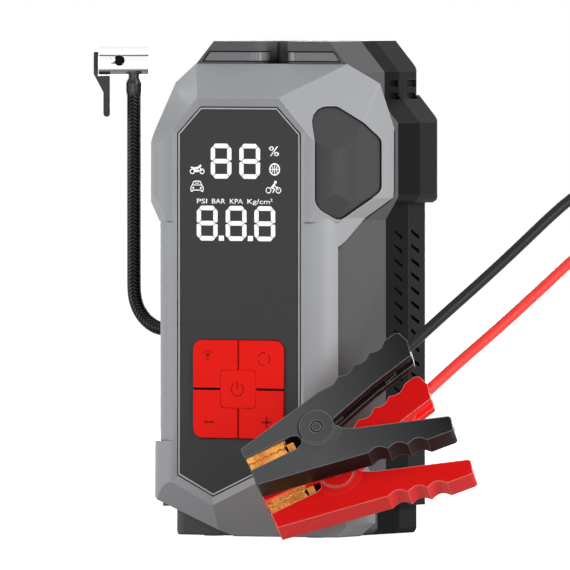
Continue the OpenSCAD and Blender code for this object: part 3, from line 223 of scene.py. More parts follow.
def studio_world():
    world = bpy.data.worlds.new("studio")
    world.use_nodes = True
    tree = world.node_tree
    tree.nodes.clear()
    new, link = tree.nodes.new, tree.links.new
    way = new("ShaderNodeSeparateXYZ")
    link(new("ShaderNodeTexCoord").outputs["Generated"], way.inputs[0])
    strip = new("ShaderNodeValToRGB")
    strip.color_ramp.elements[0].color = (*WHITE, 1)
    for height, tone in WALL_STRIP:
        strip.color_ramp.elements.new(height).color = (tone, tone, tone, 1)
    link(way.outputs["Z"], strip.inputs["Fac"])
    for_camera = new("ShaderNodeLightPath").outputs["Is Camera Ray"]
    soft, white = new("ShaderNodeBackground"), new("ShaderNodeBackground")
    soft.inputs["Color"].default_value = (*SOFT_LIGHT, 1)
    soft.inputs["Strength"].default_value = SOFT_STRENGTH
    white.inputs["Strength"].default_value = 1
    link(mixed_in(tree, for_camera, strip.outputs["Color"], WHITE), white.inputs["Color"])
    pick = new("ShaderNodeMixShader")
    link(seen_directly(tree), pick.inputs["Fac"])
    link(soft.outputs[0], pick.inputs[1])
    link(white.outputs[0], pick.inputs[2])
    link(pick.outputs[0], new("ShaderNodeOutputWorld").inputs["Surface"])
    return world


scene.world = studio_world()


# ---- Clamp frame: its pivot, and the directions along, across and out of each clamp ----
LEAN, YAW, ROLL = math.radians(21), math.radians(22), math.radians(27.5)
SIDE = Vector((math.cos(YAW), math.sin(YAW), 0))
UP = Vector((-math.sin(YAW) * math.sin(LEAN), math.cos(YAW) * math.sin(LEAN), math.cos(LEAN)))
OUT = Vector((math.sin(YAW) * math.cos(LEAN), -math.cos(YAW) * math.cos(LEAN), math.sin(LEAN)))
ALONG = SIDE * math.cos(ROLL) + UP * math.sin(ROLL)
ACROSS = UP * math.cos(ROLL) - SIDE * math.sin(ROLL)
# In mm: the pivots of the CAD, and those that the free parts of the cables were drawn for
PIVOT = {"black": Vector((47.3534, -57.4077, 43.3356)),
         "red": Vector((49.3105, -44.6332, 25.6811))}
HOME = {"black": Vector((48.7, -60.7, 43.3)), "red": Vector((50.6, -47.9, 25.7))}


# ---- Materials ----
DRIFT_DETAIL, GRAIN_DETAIL, GRAIN_SHARE = 4, 3, 0.4
DARK_BELOW, LIGHT_ABOVE = 0.3, 0.7  # of the noise
GRAIN_DEPTH = 0.0004
COAT_ROUGH = 0.12
EDGE_SAMPLES, HIGHLIGHT_SAMPLES, GAP_SAMPLES = 4, 6, 8
# How open a place is where the painted shade of the gaps starts and where it is at its most
GAP_OPEN, GAP_CLOSED = 0.9, 0.5
GAP_SHADE_TONE, GAP_SHADE_MOST = (0.004, 0.004, 0.005), 0.92
# How well the softened normal matches the true one, where the painted edge highlight starts and
# where it is full
EDGE_FLAT, EDGE_TURNED = 0.995, 0.90
INNER_BLUR = 0.0003
FADE_START, FADE_END = -0.004, 0.05


def painted_gap_shade(tree, colour, reach):
    """Painted shade: the colour gets darker where other surfaces crowd from within reach, as in
    gaps.
    """
    crowded = tree.nodes.new("ShaderNodeAmbientOcclusion")
    crowded.samples = GAP_SAMPLES
    crowded.inputs["Distance"].default_value = reach
    share = mapped(tree, crowded.outputs["AO"], GAP_OPEN, GAP_CLOSED, 0, GAP_SHADE_MOST)
    return mixed_in(tree, share, colour, GAP_SHADE_TONE)


def painted_inner_shading(tree, colour, inner, middle, across, reach):
    """Painted light and shade: the colour is another one inside of reach from a middle plane,
    as within a clamp.
    """
    height = maths(tree, "SUBTRACT", dot(tree, object_place(tree), across), middle.dot(across))
    share = mapped(tree, maths(tree, "ABSOLUTE", height), reach, reach - INNER_BLUR)
    return mixed_in(tree, share, colour, inner)


def painted_shade_fade(tree, colour, end, middle, along):
    """Painted shade: the colour turns to its end tone along a direction, from the middle to 50
    mm away.
    """
    start = middle.dot(along)
    share = mapped(tree, dot(tree, object_place(tree), along), start + FADE_START,
                   start + FADE_END)
    return mixed_in(tree, share, colour, end)


def painted_edge_highlight(tree, colour, highlight_tone, highlight_share, radius):
    """Painted highlight: mix a paler colour in where a softened normal leaves the true one, so
    along the edges.
    """
    true = tree.nodes.new("ShaderNodeNewGeometry").outputs["True Normal"]
    match = dot(tree, softened_normal(tree, radius, HIGHLIGHT_SAMPLES), true)
    return mixed_in(tree, mapped(tree, match, EDGE_FLAT, EDGE_TURNED, 0, highlight_share), colour, highlight_tone)


def grained(name, dark, light, rough=0.5, rough_range=0.08, metal=0.0, grain=900.0, bump=0.05,
            blotch=18.0, edge=0.0003, coat=0.0, spec=0.5, stretch=None, emit=0.0, highlight_tone=None,
            highlight_share=0.0, inner=None, shade_gradient=None, gap_shade_reach=0.0):
    """A moulded or machined finish: colour drifts softly between dark and light, and a fine
    grain lies in roughness and bump. Edges are soft by the radius edge, with a painted
    highlight, a paler line, where highlight_tone is given. gap_shade_reach is the reach of the
    painted shade in gaps, and shade_gradient and inner hold the end tone, middle and direction
    of painted light and shade across the piece.
    """
    material, tree = new_material(name)
    shader = surface_shader(tree)
    stretched = tree.nodes.new("ShaderNodeMapping")
    if stretch:
        stretched.inputs["Scale"].default_value = stretch
    tree.links.new(object_place(tree), stretched.inputs["Vector"])
    fine = noise(tree, stretched.outputs[0], grain, GRAIN_DETAIL)
    both = tree.nodes.new("ShaderNodeMix")
    both.data_type = "FLOAT"
    both.inputs["Factor"].default_value = GRAIN_SHARE
    tree.links.new(noise(tree, object_place(tree), blotch, DRIFT_DETAIL), both.inputs["A"])
    tree.links.new(fine, both.inputs["B"])
    colour = two_tone(tree, both.outputs[0], dark, light, DARK_BELOW, LIGHT_ABOVE)
    if shade_gradient:
        colour = painted_shade_fade(tree, colour, *shade_gradient)
    if inner:
        colour = painted_inner_shading(tree, colour, *inner)
    if highlight_tone:
        colour = painted_edge_highlight(tree, colour, highlight_tone, highlight_share, edge)
    if gap_shade_reach:
        colour = painted_gap_shade(tree, colour, gap_shade_reach)
    tree.links.new(colour, shader.inputs["Base Color"])
    gloss = mapped(tree, both.outputs[0], 0, 1, rough - rough_range, rough + rough_range)
    tree.links.new(gloss, shader.inputs["Roughness"])
    shader.inputs["Metallic"].default_value = metal
    shader.inputs["Coat Weight"].default_value = coat
    shader.inputs["Coat Roughness"].default_value = COAT_ROUGH
    shader.inputs["Specular IOR Level"].default_value = spec
    if emit:
        tree.links.new(colour, shader.inputs["Emission Color"])
        shader.inputs["Emission Strength"].default_value = emit
    rounded = softened_normal(tree, edge, EDGE_SAMPLES) if edge else None
    raise_surface(tree, shader, fine, bump, GRAIN_DEPTH, rounded)
    return material


def grey(v, tint=0.0):
    """A grey, toward blue by tint."""
    return (v * (1 - tint * 0.5), v, v * (1 + tint))


CLAMP_INSIDE = 0.0073  # half the depth within the side faces of a clamp

# Where a material below has a paler line along its edges, that line is a painted highlight;
# where it darkens in gaps, that is painted shade.
shell = grained("shell silver", grey(0.315, 0.03), grey(0.345, 0.03), 0.42, 0.06, 0, 2600, 0.05,
                edge=0.0005, spec=0.25, highlight_tone=grey(0.62, 0.02), highlight_share=0.5, gap_shade_reach=0.0012)
trim = grained("trim silver", grey(0.40, 0.02), grey(0.46, 0.02), 0.36, 0.05, 0.1, 2600, 0.04,
               edge=0.0002, spec=0.3)
panel = grained("panel graphite", grey(0.045, 0.02), grey(0.051, 0.02), 0.42, 0.05, 0, 3200,
                0.03, edge=0.0003, spec=0.1)
casing = grained("casing graphite", grey(0.088, 0.02), grey(0.106, 0.02), 0.55, 0.08, 0, 2200,
                 0.1, edge=0.0004, spec=0.1, highlight_tone=grey(0.18), highlight_share=0.5, gap_shade_reach=0.002)
insert = grained("insert graphite", grey(0.048, 0.02), grey(0.060, 0.02), 0.5, 0.08, 0, 2200,
                 0.1, edge=0.0004, spec=0.1, gap_shade_reach=0.0016)
middle = grained("casing black", grey(0.003, 0.1), grey(0.005, 0.1), 0.5, 0.08, 0, 2200, 0.08,
                 edge=0.0004, spec=0.04, highlight_tone=grey(0.05), highlight_share=0.5, gap_shade_reach=0.002)
cover = grained("cover black", grey(0.010, 0.05), grey(0.016, 0.05), 0.5, 0.08, 0, 2200, 0.1,
                edge=0.0005, spec=0.06, highlight_tone=grey(0.09), highlight_share=0.5, gap_shade_reach=0.002)
key = grained("key red", (0.86, 0.008, 0.004), (0.94, 0.012, 0.007), 0.42, 0.06, 0, 2400, 0.05,
              edge=0.0004, spec=0.1)
key_mark = grained("key mark", (0.36, 0.003, 0.002), (0.44, 0.005, 0.003), 0.5, 0.05, 0, 2400,
                   0.03, edge=0, spec=0.1)
rubber = grained("rubber black", grey(0.012), grey(0.022), 0.6, 0.08, 0, 1800, 0.12,
                 edge=0.0002, spec=0.15)
# Black for the dark plates and runs that paint the shade in gaps, holes and seams.
shade_black = grained("seam black", grey(0.003), grey(0.006), 0.6, 0.08, 0, 1800, 0.05, edge=0,
               spec=0.05)
steel = grained("steel", grey(0.5), grey(0.62), 0.3, 0.08, 1, 700, 0.06, stretch=(1, 1, 12),
                edge=0.0001)
grey_parts = grained("switch grey", grey(0.16), grey(0.24), 0.45, 0.06, 0, 1500, 0.05, edge=0)
board = grained("board green", (0.01, 0.10, 0.035), (0.02, 0.17, 0.06), 0.35, 0.08, 0, 1200,
                0.1, edge=0)
foil = grained("cell foil", grey(0.55), grey(0.7), 0.32, 0.1, 0.9, 260, 0.25, edge=0.0004)
lead_red = grained("lead red", (0.84, 0.022, 0.014), (0.93, 0.04, 0.026), 0.3, 0.04, 0, 1400,
                   0.012, edge=0, spec=0.45, coat=0.5)
socket = grained("socket blue", (0.015, 0.05, 0.26), (0.03, 0.09, 0.38), 0.45, 0.08, 0, 1600,
                 0.1, edge=0.0003)
# The copper's glow is painted light, and its near white edge line is a painted highlight.
copper = grained("copper jaw", (0.50, 0.09, 0.008), (1.0, 0.50, 0.11), 0.22, 0.1, 0.8, 420,
                 0.35, stretch=(1, 5, 1), blotch=160, edge=0.00015, emit=0.35,
                 highlight_tone=(1, 0.86, 0.62), highlight_share=0.85)
brass = grained("gear brass", (0.66, 0.48, 0.16), (0.82, 0.62, 0.25), 0.3, 0.08, 1, 900, 0.06,
                edge=0.0001)
alloy = grained("cast alloy", grey(0.42), grey(0.56), 0.42, 0.1, 0.9, 1100, 0.16, edge=0.0003)
chrome = grained("chrome", grey(0.92), grey(0.96), 0.05, 0.02, 1, 500, 0.005,
                 stretch=(1, 10, 10), edge=0.0002)
lever = grained("lever dark", grey(0.030), grey(0.042), 0.4, 0.08, 0, 1600, 0.06, edge=0.0004,
                spec=0.2)
# The black clamp's near black within its side faces and its darkening along the arms away from
# the pivot are painted shade.
clamp_black = grained("clamp black", grey(0.062, 0.02), grey(0.076, 0.02), 0.45, 0.08, 0, 1900,
                      0.1, edge=0.0007, spec=0.06, highlight_tone=grey(0.3), highlight_share=0.65,
                      shade_gradient=(grey(0.010, 0.02), PIVOT["black"] * MM, ALONG),
                      inner=(grey(0.007), PIVOT["black"] * MM, OUT, CLAMP_INSIDE))
# The red clamp's brighter red within its side faces and its glow are painted light.
clamp_red = grained("clamp red", (0.52, 0.005, 0.005), (0.60, 0.008, 0.007), 0.42, 0.08, 0,
                    1900, 0.1, edge=0.0007, spec=0.05, highlight_tone=(1, 0.36, 0.32), highlight_share=0.7, emit=0.1,
                    inner=((0.98, 0.012, 0.01), PIVOT["red"] * MM, OUT, CLAMP_INSIDE))
ferrule = grained("ferrule black", grey(0.014), grey(0.022), 0.24, 0.04, 0, 1600, 0.02,
                  edge=0.0002, spec=0.5)
cable_black_skin = grained("cable black", grey(0.006), grey(0.009), 0.34, 0.03, 0, 1500, 0.015,
                           edge=0, spec=0.3)
printed = grained("printed white", grey(0.86), grey(0.94), 0.5, 0.04, 0, 2500, 0.01, edge=0,
                  emit=0.26)


def lens_material():
    """Smoky clear plastic with faint upright flutes over a dark reflector."""
    material, tree = new_material("lens smoke")
    shader = surface_shader(tree)
    flutes = tree.nodes.new("ShaderNodeTexWave")
    flutes.inputs["Scale"].default_value = 260
    flutes.inputs["Distortion"].default_value = 0.4
    tree.links.new(object_place(tree), flutes.inputs["Vector"])
    height = flutes.outputs["Fac"]
    tone = two_tone(tree, height, (0.145, 0.148, 0.154), (0.185, 0.188, 0.194))
    tree.links.new(tone, shader.inputs["Base Color"])
    shader.inputs["Roughness"].default_value = 0.3
    shader.inputs["Specular IOR Level"].default_value = 0.3
    raise_surface(tree, shader, height, strength=0.12, distance=0.0003)
    return material


lens = lens_material()

finishes = {
    shell: ["front_shell"],
    trim: ["panel_trim"],
    panel: ["control_panel"],
    casing: ["front_casing"],
    insert: ["side_insert"],
    middle: ["middle_casing", "battery_tray", "motor_fan"],
    cover: ["rear_cover", "hose_outlet"],
    lens: ["light_bar_left", "light_bar_right"],
    key: ["key_power", "key_light", "key_mode", "key_minus", "key_plus"],
    rubber: ["rubber_feet", "key_mat", "chuck_seal"],
    steel: ["casing_screws", "black_spring", "red_spring", "usb_a_port", "usb_c_port", "motor",
            "crank_gear"],
    grey_parts: ["key_switches", "display_module", "lamp_board"],
    board: ["main_board"],
    foil: ["battery_cells"],
    lead_red: ["power_leads"],
    socket: ["output_socket", "lead_plug"],
    copper: ["black_lower_jaw", "black_upper_jaw", "red_lower_jaw", "red_upper_jaw",
             "motor_rotor"],
    brass: ["pinion"],
    alloy: ["piston", "pump_cylinder", "pump_head", "compressor_frame", "outlet_pipe"],
    chrome: ["chuck_body"],
    lever: ["chuck_lever", "chuck_pin"],
    ferrule: ["hose_ferrule"],
    clamp_black: ["black_lower_arm", "black_upper_arm", "black_rivet"],
    clamp_red: ["red_lower_arm", "red_upper_arm", "red_rivet"],
}
for finish, names in finishes.items():
    for name in names:
        thing = nodes[name]
        thing.data.materials.clear()
        thing.data.materials.append(finish)


# ---- Building helpers ----
def finished(piece, body, finish, replaces=()):
    """Give a piece its finish, hide the parts that it replaces, and let it ride on its body."""
    piece.data.materials.clear()
    piece.data.materials.append(finish)
    if replaces:
        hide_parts(*replaces)
    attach(piece, body)


def from_bmesh(bm, name):
    mesh = bpy.data.meshes.new(name)
    bm.to_mesh(mesh)
    bm.free()
    piece = bpy.data.objects.new(name, mesh)
    scene.collection.objects.link(piece)
    return piece


def mesh_of(curve):
    """The mesh that a curve or a text makes, with its holder gone again."""
    holder = bpy.data.objects.new(curve.name, curve)
    scene.collection.objects.link(holder)
    bpy.context.view_layer.update()
    graph = bpy.context.evaluated_depsgraph_get()
    mesh = bpy.data.meshes.new_from_object(holder.evaluated_get(graph), depsgraph=graph)
    bpy.data.objects.remove(holder)
    bpy.data.curves.remove(curve)
    return mesh


def sweep(name, points, thick, sides=5, resolution=6):
    """A smooth round run along points in millimetres, of ring_size(sides) corners around."""
    curve = bpy.data.curves.new(name + "_run", "CURVE")
    curve.dimensions = "3D"
    curve.bevel_depth = thick * MM / 2
    curve.bevel_resolution = sides
    curve.use_fill_caps = True
    curve.resolution_u = resolution
    spline = curve.splines.new("NURBS")
    spline.points.add(len(points) - 1)
    for point, place in zip(spline.points, points):
        point.co = (place[0] * MM, place[1] * MM, place[2] * MM, 1)
    spline.use_endpoint_u = True
    spline.order_u = 4
    mesh = mesh_of(curve)
    mesh.name = name
    mesh.shade_smooth()
    piece = bpy.data.objects.new(name, mesh)
    scene.collection.objects.link(piece)
    return piece


def ring_size(sides):
    """Corners around a swept run, as Blender makes them from its number of sides."""
    return 2 * sides + 4


# ---- Cords: the battery cables and the air hose, in mm ----
CABLE_THICK, HOSE_THICK = 4.4, 5.6
PLUG = Vector((160, 78, 7))
PLUG_TURN = math.radians(100)
PLUG_SIDE = Vector((math.sin(PLUG_TURN), -math.cos(PLUG_TURN), 0))
PLUG_HALF_GAP = 6
HANDLE_AXIS = math.radians(17.8)
HANDLE_START = (37, 13.3)
HANDLE_STEPS = (0, 6, 12, 20, 30)
BEND_START = (48, 17)  # along and across the clamp
# Each point, and the share of the clamp's own move from HOME that it follows
ROUTE = {
    "black": [
        (94.8, -17.6, 100.4, 1), (103.1, -10.1, 110.3, 1), (111.5, -2.6, 120.6, 0.9),
        (119.6, 5, 131, 0.8), (127, 12.5, 139.5, 0.6), (134.5, 19.5, 144.5, 0.3),
        (142, 26, 144, 0.1), (149, 32.4, 138.8, 0), (154.6, 37.8, 130.5, 0),
        (158.6, 41.8, 119.5, 0), (161.5, 45, 107.5, 0), (163.5, 47.6, 95, 0),
        (165, 49.5, 82, 0), (166, 50.8, 69, 0), (166.6, 51.8, 56, 0), (167, 52.8, 43.5, 0),
        (167.4, 54.5, 31.5, 0), (167.8, 57.5, 20.5, 0), (168, 62.5, 11.5, 0),
        (167.47, 70.18, 7, 0)],
    "red": [
        (97.2, -5.4, 82.6, 1), (105.5, 2.1, 92.5, 1), (113.9, 9.6, 102.5, 0.9),
        (121.5, 16.6, 112, 0.8), (128.5, 23, 119.5, 0.6), (136, 29.8, 124, 0.3),
        (143.5, 36.6, 123.5, 0.1), (149.3, 42.2, 117.5, 0), (153, 46.3, 108, 0),
        (155, 49, 96.5, 0), (155.8, 50.8, 84, 0), (156, 52, 71.5, 0), (156, 52.8, 58, 0),
        (156, 53.4, 45, 0), (156, 54.4, 32.5, 0), (156, 56.5, 21.5, 0), (156, 61.2, 12, 0),
        (155.65, 68.1, 7, 0)],
}
HOSE = [
    (-46, -8.5, 83), (-49, -8.5, 83), (-52, -8.5, 83), (-55, -8.5, 83.2), (-58, -8.5, 84.2),
    (-61, -8.5, 86), (-63.6, -8.5, 88.5), (-65.6, -8.5, 91.6), (-66.9, -8.5, 95),
    (-67.4, -8.5, 99), (-67.4, -8.5, 104), (-67.4, -8.5, 112), (-67.4, -8.5, 122),
    (-67.4, -8.5, 132), (-67.4, -8.5, 142), (-67.4, -8.5, 152), (-67.4, -8.5, 162),
    (-67.4, -8.5, 170), (-67.4, -8.5, 177.8)]


def on_clamp(side, u, v, n=0.0):
    return PIVOT[side] + u * ALONG + v * ACROSS + n * OUT


def cable_points(side):
    """The way of a cable, from inside its handle to the plug."""
    u, v = HANDLE_START
    in_handle = [on_clamp(side, u + d * math.cos(HANDLE_AXIS), v + d * math.sin(HANDLE_AXIS))
                 for d in HANDLE_STEPS]
    shift = PIVOT[side] - HOME[side]
    free = [Vector(place[:3]) + place[3] * shift for place in ROUTE[side]]
    sign = 1 if side == "black" else -1
    return in_handle + free + [PLUG + sign * PLUG_HALF_GAP * PLUG_SIDE]


for side, finish in (("black", cable_black_skin), ("red", lead_red)):
    points = cable_points(side)
    cable = sweep(f"cable_{side}_skin", points, CABLE_THICK, sides=6, resolution=5)
    cable.data.materials.append(finish)
    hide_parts(f"cable_{side}")
    start = on_clamp(side, *BEND_START)
    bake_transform(cable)


BRAID_COLUMNS, BRAID_PITCH = 8, 1.5
THREAD_FROM, GROOVE_BELOW = 0.72, 0.45


def braid_material():
    """Woven sleeve: columns of slanted strands that meet in a herringbone, near black with
    pale threads."""
    material, tree = new_material("hose braid")
    shader = surface_shader(tree)
    wrap = tree.nodes.new("ShaderNodeUVMap")
    wrap.uv_map = "wrap"
    parts = tree.nodes.new("ShaderNodeSeparateXYZ")
    tree.links.new(wrap.outputs["UV"], parts.inputs[0])
    run, around = parts.outputs["X"], parts.outputs["Y"]
    columns = maths(tree, "MULTIPLY", around, BRAID_COLUMNS)
    slant = maths(tree, "PINGPONG", columns, 1)
    strands = maths(tree, "ADD", maths(tree, "MULTIPLY", run, 1 / BRAID_PITCH), slant)
    strand = maths(tree, "FRACT", strands)
    raised = maths(tree, "SINE", maths(tree, "MULTIPLY", strand, math.pi))
    across = maths(tree, "MULTIPLY", maths(tree, "FRACT", columns), math.pi)
    centred = maths(tree, "SINE", across)
    thread = maths(tree, "GREATER_THAN", strand, THREAD_FROM)
    pale = maths(tree, "MULTIPLY", thread, maths(tree, "GREATER_THAN", centred, GROOVE_BELOW))
    tone = two_tone(tree, pale, (0.004, 0.004, 0.005), (0.09, 0.09, 0.1))
    tree.links.new(tone, shader.inputs["Base Color"])
    shader.inputs["Roughness"].default_value = 0.5
    shader.inputs["Specular IOR Level"].default_value = 0.12
    weave = maths(tree, "MULTIPLY", raised, centred)
    raise_surface(tree, shader, weave, strength=0.5, distance=0.0003)
    return material


def wrap_map(piece, corners):
    """UV map of a swept run: millimetres along it, and 0 to 1 round its rings of corners."""
    mesh = piece.data
    rings = len(mesh.vertices) // corners
    middles = []
    for i in range(rings):
        ring_of = mesh.vertices[i * corners:(i + 1) * corners]
        middles.append(sum((v.co for v in ring_of), Vector()) / corners)
    run = [0.0]
    for a, b in zip(middles, middles[1:]):
        run.append(run[-1] + (b - a).length / MM)
    layer = mesh.uv_layers.new(name="wrap")
    for face in mesh.polygons:
        around = [mesh.loops[i].vertex_index % corners for i in face.loop_indices]
        closes = 0 in around and corners - 1 in around
        for i, k in zip(face.loop_indices, around):
            at = min(mesh.loops[i].vertex_index // corners, rings - 1)
            layer.data[i].uv = (run[at], 1.0 if closes and k == 0 else k / corners)


HOSE_SIDES = 8
hose_points = [Vector(p) for p in HOSE]
hose = sweep("hose_braid", hose_points, HOSE_THICK, sides=HOSE_SIDES, resolution=8)
wrap_map(hose, ring_size(HOSE_SIDES))
finished(hose, "casing", braid_material(), ["air_hose"])


# ---- Drawing helpers: flat outlines in mm, x to the right and z up, then thin plates ----
ARC_STEP = 15  # degrees
LETTER_BOLD = 0.004  # of the letters' own size


def bar(bm, outline):
    bm.faces.new([bm.verts.new((x, 0, z)) for x, z in outline])


def figure_eight(bm, x, z, wide, high):
    """One seven-bar figure with all bars lit: chamfered bars with fine gaps between them."""
    side, flat, cut, gap = wide * 0.205, high * 0.132, wide * 0.2, 0.19
    tip, notch = side * 0.45, 0.35
    right, middle = x + wide, z + high / 2
    for low, up in ((z, 1), (z + high, -1)):
        bar(bm, [(x + side + gap, low + up * flat), (x + cut / 2 + gap, low + up * cut / 2),
                 (x + cut + gap, low), (right - cut - gap, low),
                 (right - cut / 2 - gap, low + up * cut / 2),
                 (right - side - gap, low + up * flat)][::up])
    bar(bm, [(x + side + gap, middle - flat / 2), (right - side - gap, middle - flat / 2),
             (right - tip - gap, middle), (right - side - gap, middle + flat / 2),
             (x + side + gap, middle + flat / 2), (x + tip + gap, middle)])
    for edge, inward in ((x, 1), (right, -1)):
        for end, up in ((z, 1), (z + high, -1)):
            bar(bm, [(edge, end + up * (cut + gap)),
                     (edge + inward * cut / 2, end + up * (cut / 2 + gap)),
                     (edge + inward * side, end + up * (flat + gap)),
                     (edge + inward * side, middle - up * (flat / 2 + gap)),
                     (edge + inward * tip, middle - up * gap),
                     (edge, middle - up * (notch + gap))][::-inward * up])


def disc(bm, x, z, radius, sides=14):
    lie = Matrix.Translation((x, 0, z)) @ Matrix.Rotation(math.pi / 2, 4, "X")
    bmesh.ops.create_circle(bm, cap_ends=True, segments=sides, radius=radius, matrix=lie)


def ring(bm, x, z, radius, wide, start=0, end=360):
    """A round stroke, closed or open, of an even width."""
    count = max(4, int((end - start) / ARC_STEP))
    steps = [math.radians(start + (end - start) * i / count) for i in range(count + 1)]
    inside, outside = radius - wide / 2, radius + wide / 2
    for a, b in zip(steps, steps[1:]):
        bar(bm, [(x + r * math.cos(t), z + r * math.sin(t))
                 for r, t in ((inside, a), (outside, a), (outside, b), (inside, b))])


def stroke(bm, points, wide):
    """Straight strokes with round ends along points."""
    for a, b in zip(points, points[1:]):
        along = Vector((b[0] - a[0], b[1] - a[1])).normalized() * wide / 2
        bar(bm, [(a[0] + along.y, a[1] - along.x), (b[0] + along.y, b[1] - along.x),
                 (b[0] - along.y, b[1] + along.x), (a[0] - along.y, a[1] + along.x)])
    for x, z in points:
        disc(bm, x, z, wide / 2, 10)


def letters(bm, text, left, right, base, top):
    """A word fitted between left and right, its capitals between base and top."""
    curve = bpy.data.curves.new("letters", "FONT")
    curve.body = text
    curve.offset = LETTER_BOLD
    curve.resolution_u = 3
    mesh = mesh_of(curve)
    first, last = min(v.co.x for v in mesh.vertices), max(v.co.x for v in mesh.vertices)
    tall = max(v.co.y for v in mesh.vertices)
    for v in mesh.vertices:
        v.co = (left + (v.co.x - first) * (right - left) / (last - first), 0,
                base + v.co.y * (top - base) / tall)
    bm.from_mesh(mesh)
    bpy.data.meshes.remove(mesh)


def plates(bm, name, face, body, finish, proud=0.05, deep=0.12, place=None):
    """Turn a flat drawing into thin plates that stand just proud of a face."""
    bmesh.ops.recalc_face_normals(bm, faces=bm.faces[:])
    for f in bm.faces:
        if f.normal.y > 0:
            f.normal_flip()
    made = bmesh.ops.extrude_face_region(bm, geom=bm.faces[:], use_keep_orig=True)
    fronts = [g for g in made["geom"] if isinstance(g, bmesh.types.BMVert)]
    bmesh.ops.translate(bm, verts=fronts, vec=(0, -deep, 0))
    bmesh.ops.recalc_face_normals(bm, faces=bm.faces[:])
    back = max(v.co.y for v in bm.verts)
    bmesh.ops.translate(bm, verts=bm.verts, vec=(0, face - proud + deep - back, 0))
    if place:
        bmesh.ops.transform(bm, matrix=place, verts=bm.verts)
    bmesh.ops.scale(bm, verts=bm.verts, vec=(MM, MM, MM))
    finished(from_bmesh(bm, name), body, finish)


# ---- Display: figures, unit names and symbols ----
PANEL_FACE, KEY_FACE = -39.7, -40.4  # y of the front faces
# Left edges, base, width and height of the rows of figures
FIGURES = (((-13.13, 0.2), 144.78, 9.65, 14.15), ((-19.66, -6.17, 7.18), 119.75, 9.7, 14.1))
DOTS, DOT_BASE, DOT_TOP, DOT_WIDE = (-9.38, 4.16), 119.75, 121.8, 2.4
# Text, left, right, base and top
WORDS = (("PSI", -19.55, -14.9, 134.75, 136.65), ("BAR", -12.6, -6.4, 134.75, 136.65),
         ("KPA", -4.2, 1.85, 134.75, 136.65), ("Kg/cm", 3.9, 14.4, 134.75, 136.65),
         ("2", 14.65, 15.6, 135.75, 136.85), ("%", 14.0, 18.6, 154.05, 158.0))

bm = bmesh.new()
for lefts, base, wide, high in FIGURES:
    for x in lefts:
        figure_eight(bm, x, base, wide, high)
for x in DOTS:
    bar(bm, [(x, DOT_BASE), (x + DOT_WIDE, DOT_BASE), (x + DOT_WIDE, DOT_TOP), (x, DOT_TOP)])
plates(bm, "display_figures", PANEL_FACE, "casing", printed)

bm = bmesh.new()
for word in WORDS:
    letters(bm, *word)
plates(bm, "display_words", PANEL_FACE, "casing", printed)

bm = bmesh.new()
# Ball
BALL_X, BALL_Z, BALL_HALF = 16.62, 148.7, 2.1
ring(bm, BALL_X, BALL_Z, 2.25, 0.55)
stroke(bm, [(BALL_X, BALL_Z - BALL_HALF), (BALL_X, BALL_Z + BALL_HALF)], 0.34)
stroke(bm, [(14.5, BALL_Z), (18.7, BALL_Z)], 0.34)
ring(bm, 14.1, BALL_Z, 1.75, 0.34, -55, 55)
ring(bm, 19.14, BALL_Z, 1.75, 0.34, 125, 235)
# Bicycle and rider
for x in (13.75, 18.35):
    ring(bm, x, 140.25, 1.1, 0.36)
disc(bm, 17.0, 143.55, 0.62)
stroke(bm, [(16.5, 142.6), (15.35, 141.35)], 0.95)
stroke(bm, [(15.3, 141.3), (16.5, 140.8), (15.85, 139.4)], 0.48)
stroke(bm, [(16.5, 142.5), (17.1, 141.6), (17.9, 141.5)], 0.36)
stroke(bm, [(17.6, 141.7), (18.35, 140.25)], 0.28)
# Motorcycle
for x in (-21.75, -17.2):
    ring(bm, x, 147.65, 0.95, 0.42)
stroke(bm, [(-22.3, 149.3), (-20.4, 149.0), (-18.9, 149.4)], 0.5)
stroke(bm, [(-20.9, 148.6), (-20.0, 147.7), (-18.9, 147.9)], 0.9)
stroke(bm, [(-19.6, 148.7), (-18.3, 149.5), (-17.9, 150.1)], 0.7)
stroke(bm, [(-18.4, 149.6), (-17.3, 147.8)], 0.35)
stroke(bm, [(-18.6, 150.0), (-17.6, 149.7)], 0.3)
# Car
CAR_WHEELS, CAR_FOOT = (-21.3, -17.8), 139.6
stroke(bm, [(-22.3, CAR_FOOT), (-22.45, 141.2), (-21.7, 142.2), (-21.2, 143.45),
            (-20.5, 143.7), (-18.6, 143.7), (-17.9, 143.45), (-17.4, 142.2), (-16.65, 141.2),
            (-16.8, CAR_FOOT), (-17.4, CAR_FOOT), (-17.6, 140.1), (-21.5, 140.1),
            (-21.7, CAR_FOOT), (-22.3, CAR_FOOT)], 0.4)
stroke(bm, [(CAR_WHEELS[0], 142.15), (CAR_WHEELS[1], 142.15)], 0.34)
stroke(bm, [(-20.4, 142.9), (-18.7, 142.9)], 0.3)
for x in CAR_WHEELS:
    disc(bm, x, 141.0, 0.42)
plates(bm, "display_symbols", PANEL_FACE, "casing", printed)


# ---- Painted shade: a dark seam between the panel trim and the shell ----
SEAM_FACE = -39.8
SEAM_OUTSIDE, SEAM_INSIDE = 0.05, 0.42  # how far within the opening of the shell


def panel_edge(t):
    """The outline of the panel's opening in the shell, drawn in by t."""
    return [(0.4 * t - 17.9, 173.8 - t), (17.9 - 0.4 * t, 173.8 - t),
            (28.7 - t, 163 - 0.4 * t), (28.7 - t, 34.9 + 0.6 * t), (-12, 16.5 + 1.15 * t),
            (t - 28.7, 24.9 + 0.7 * t), (t - 28.7, 163 - 0.4 * t)]


bm = bmesh.new()
outer, inner = panel_edge(SEAM_OUTSIDE), panel_edge(SEAM_INSIDE)
for i in range(len(outer)):
    j = (i + 1) % len(outer)
    bar(bm, [outer[i], outer[j], inner[j], inner[i]])
plates(bm, "panel_seam", SEAM_FACE, "casing", shade_black, proud=0.03, deep=0.3)


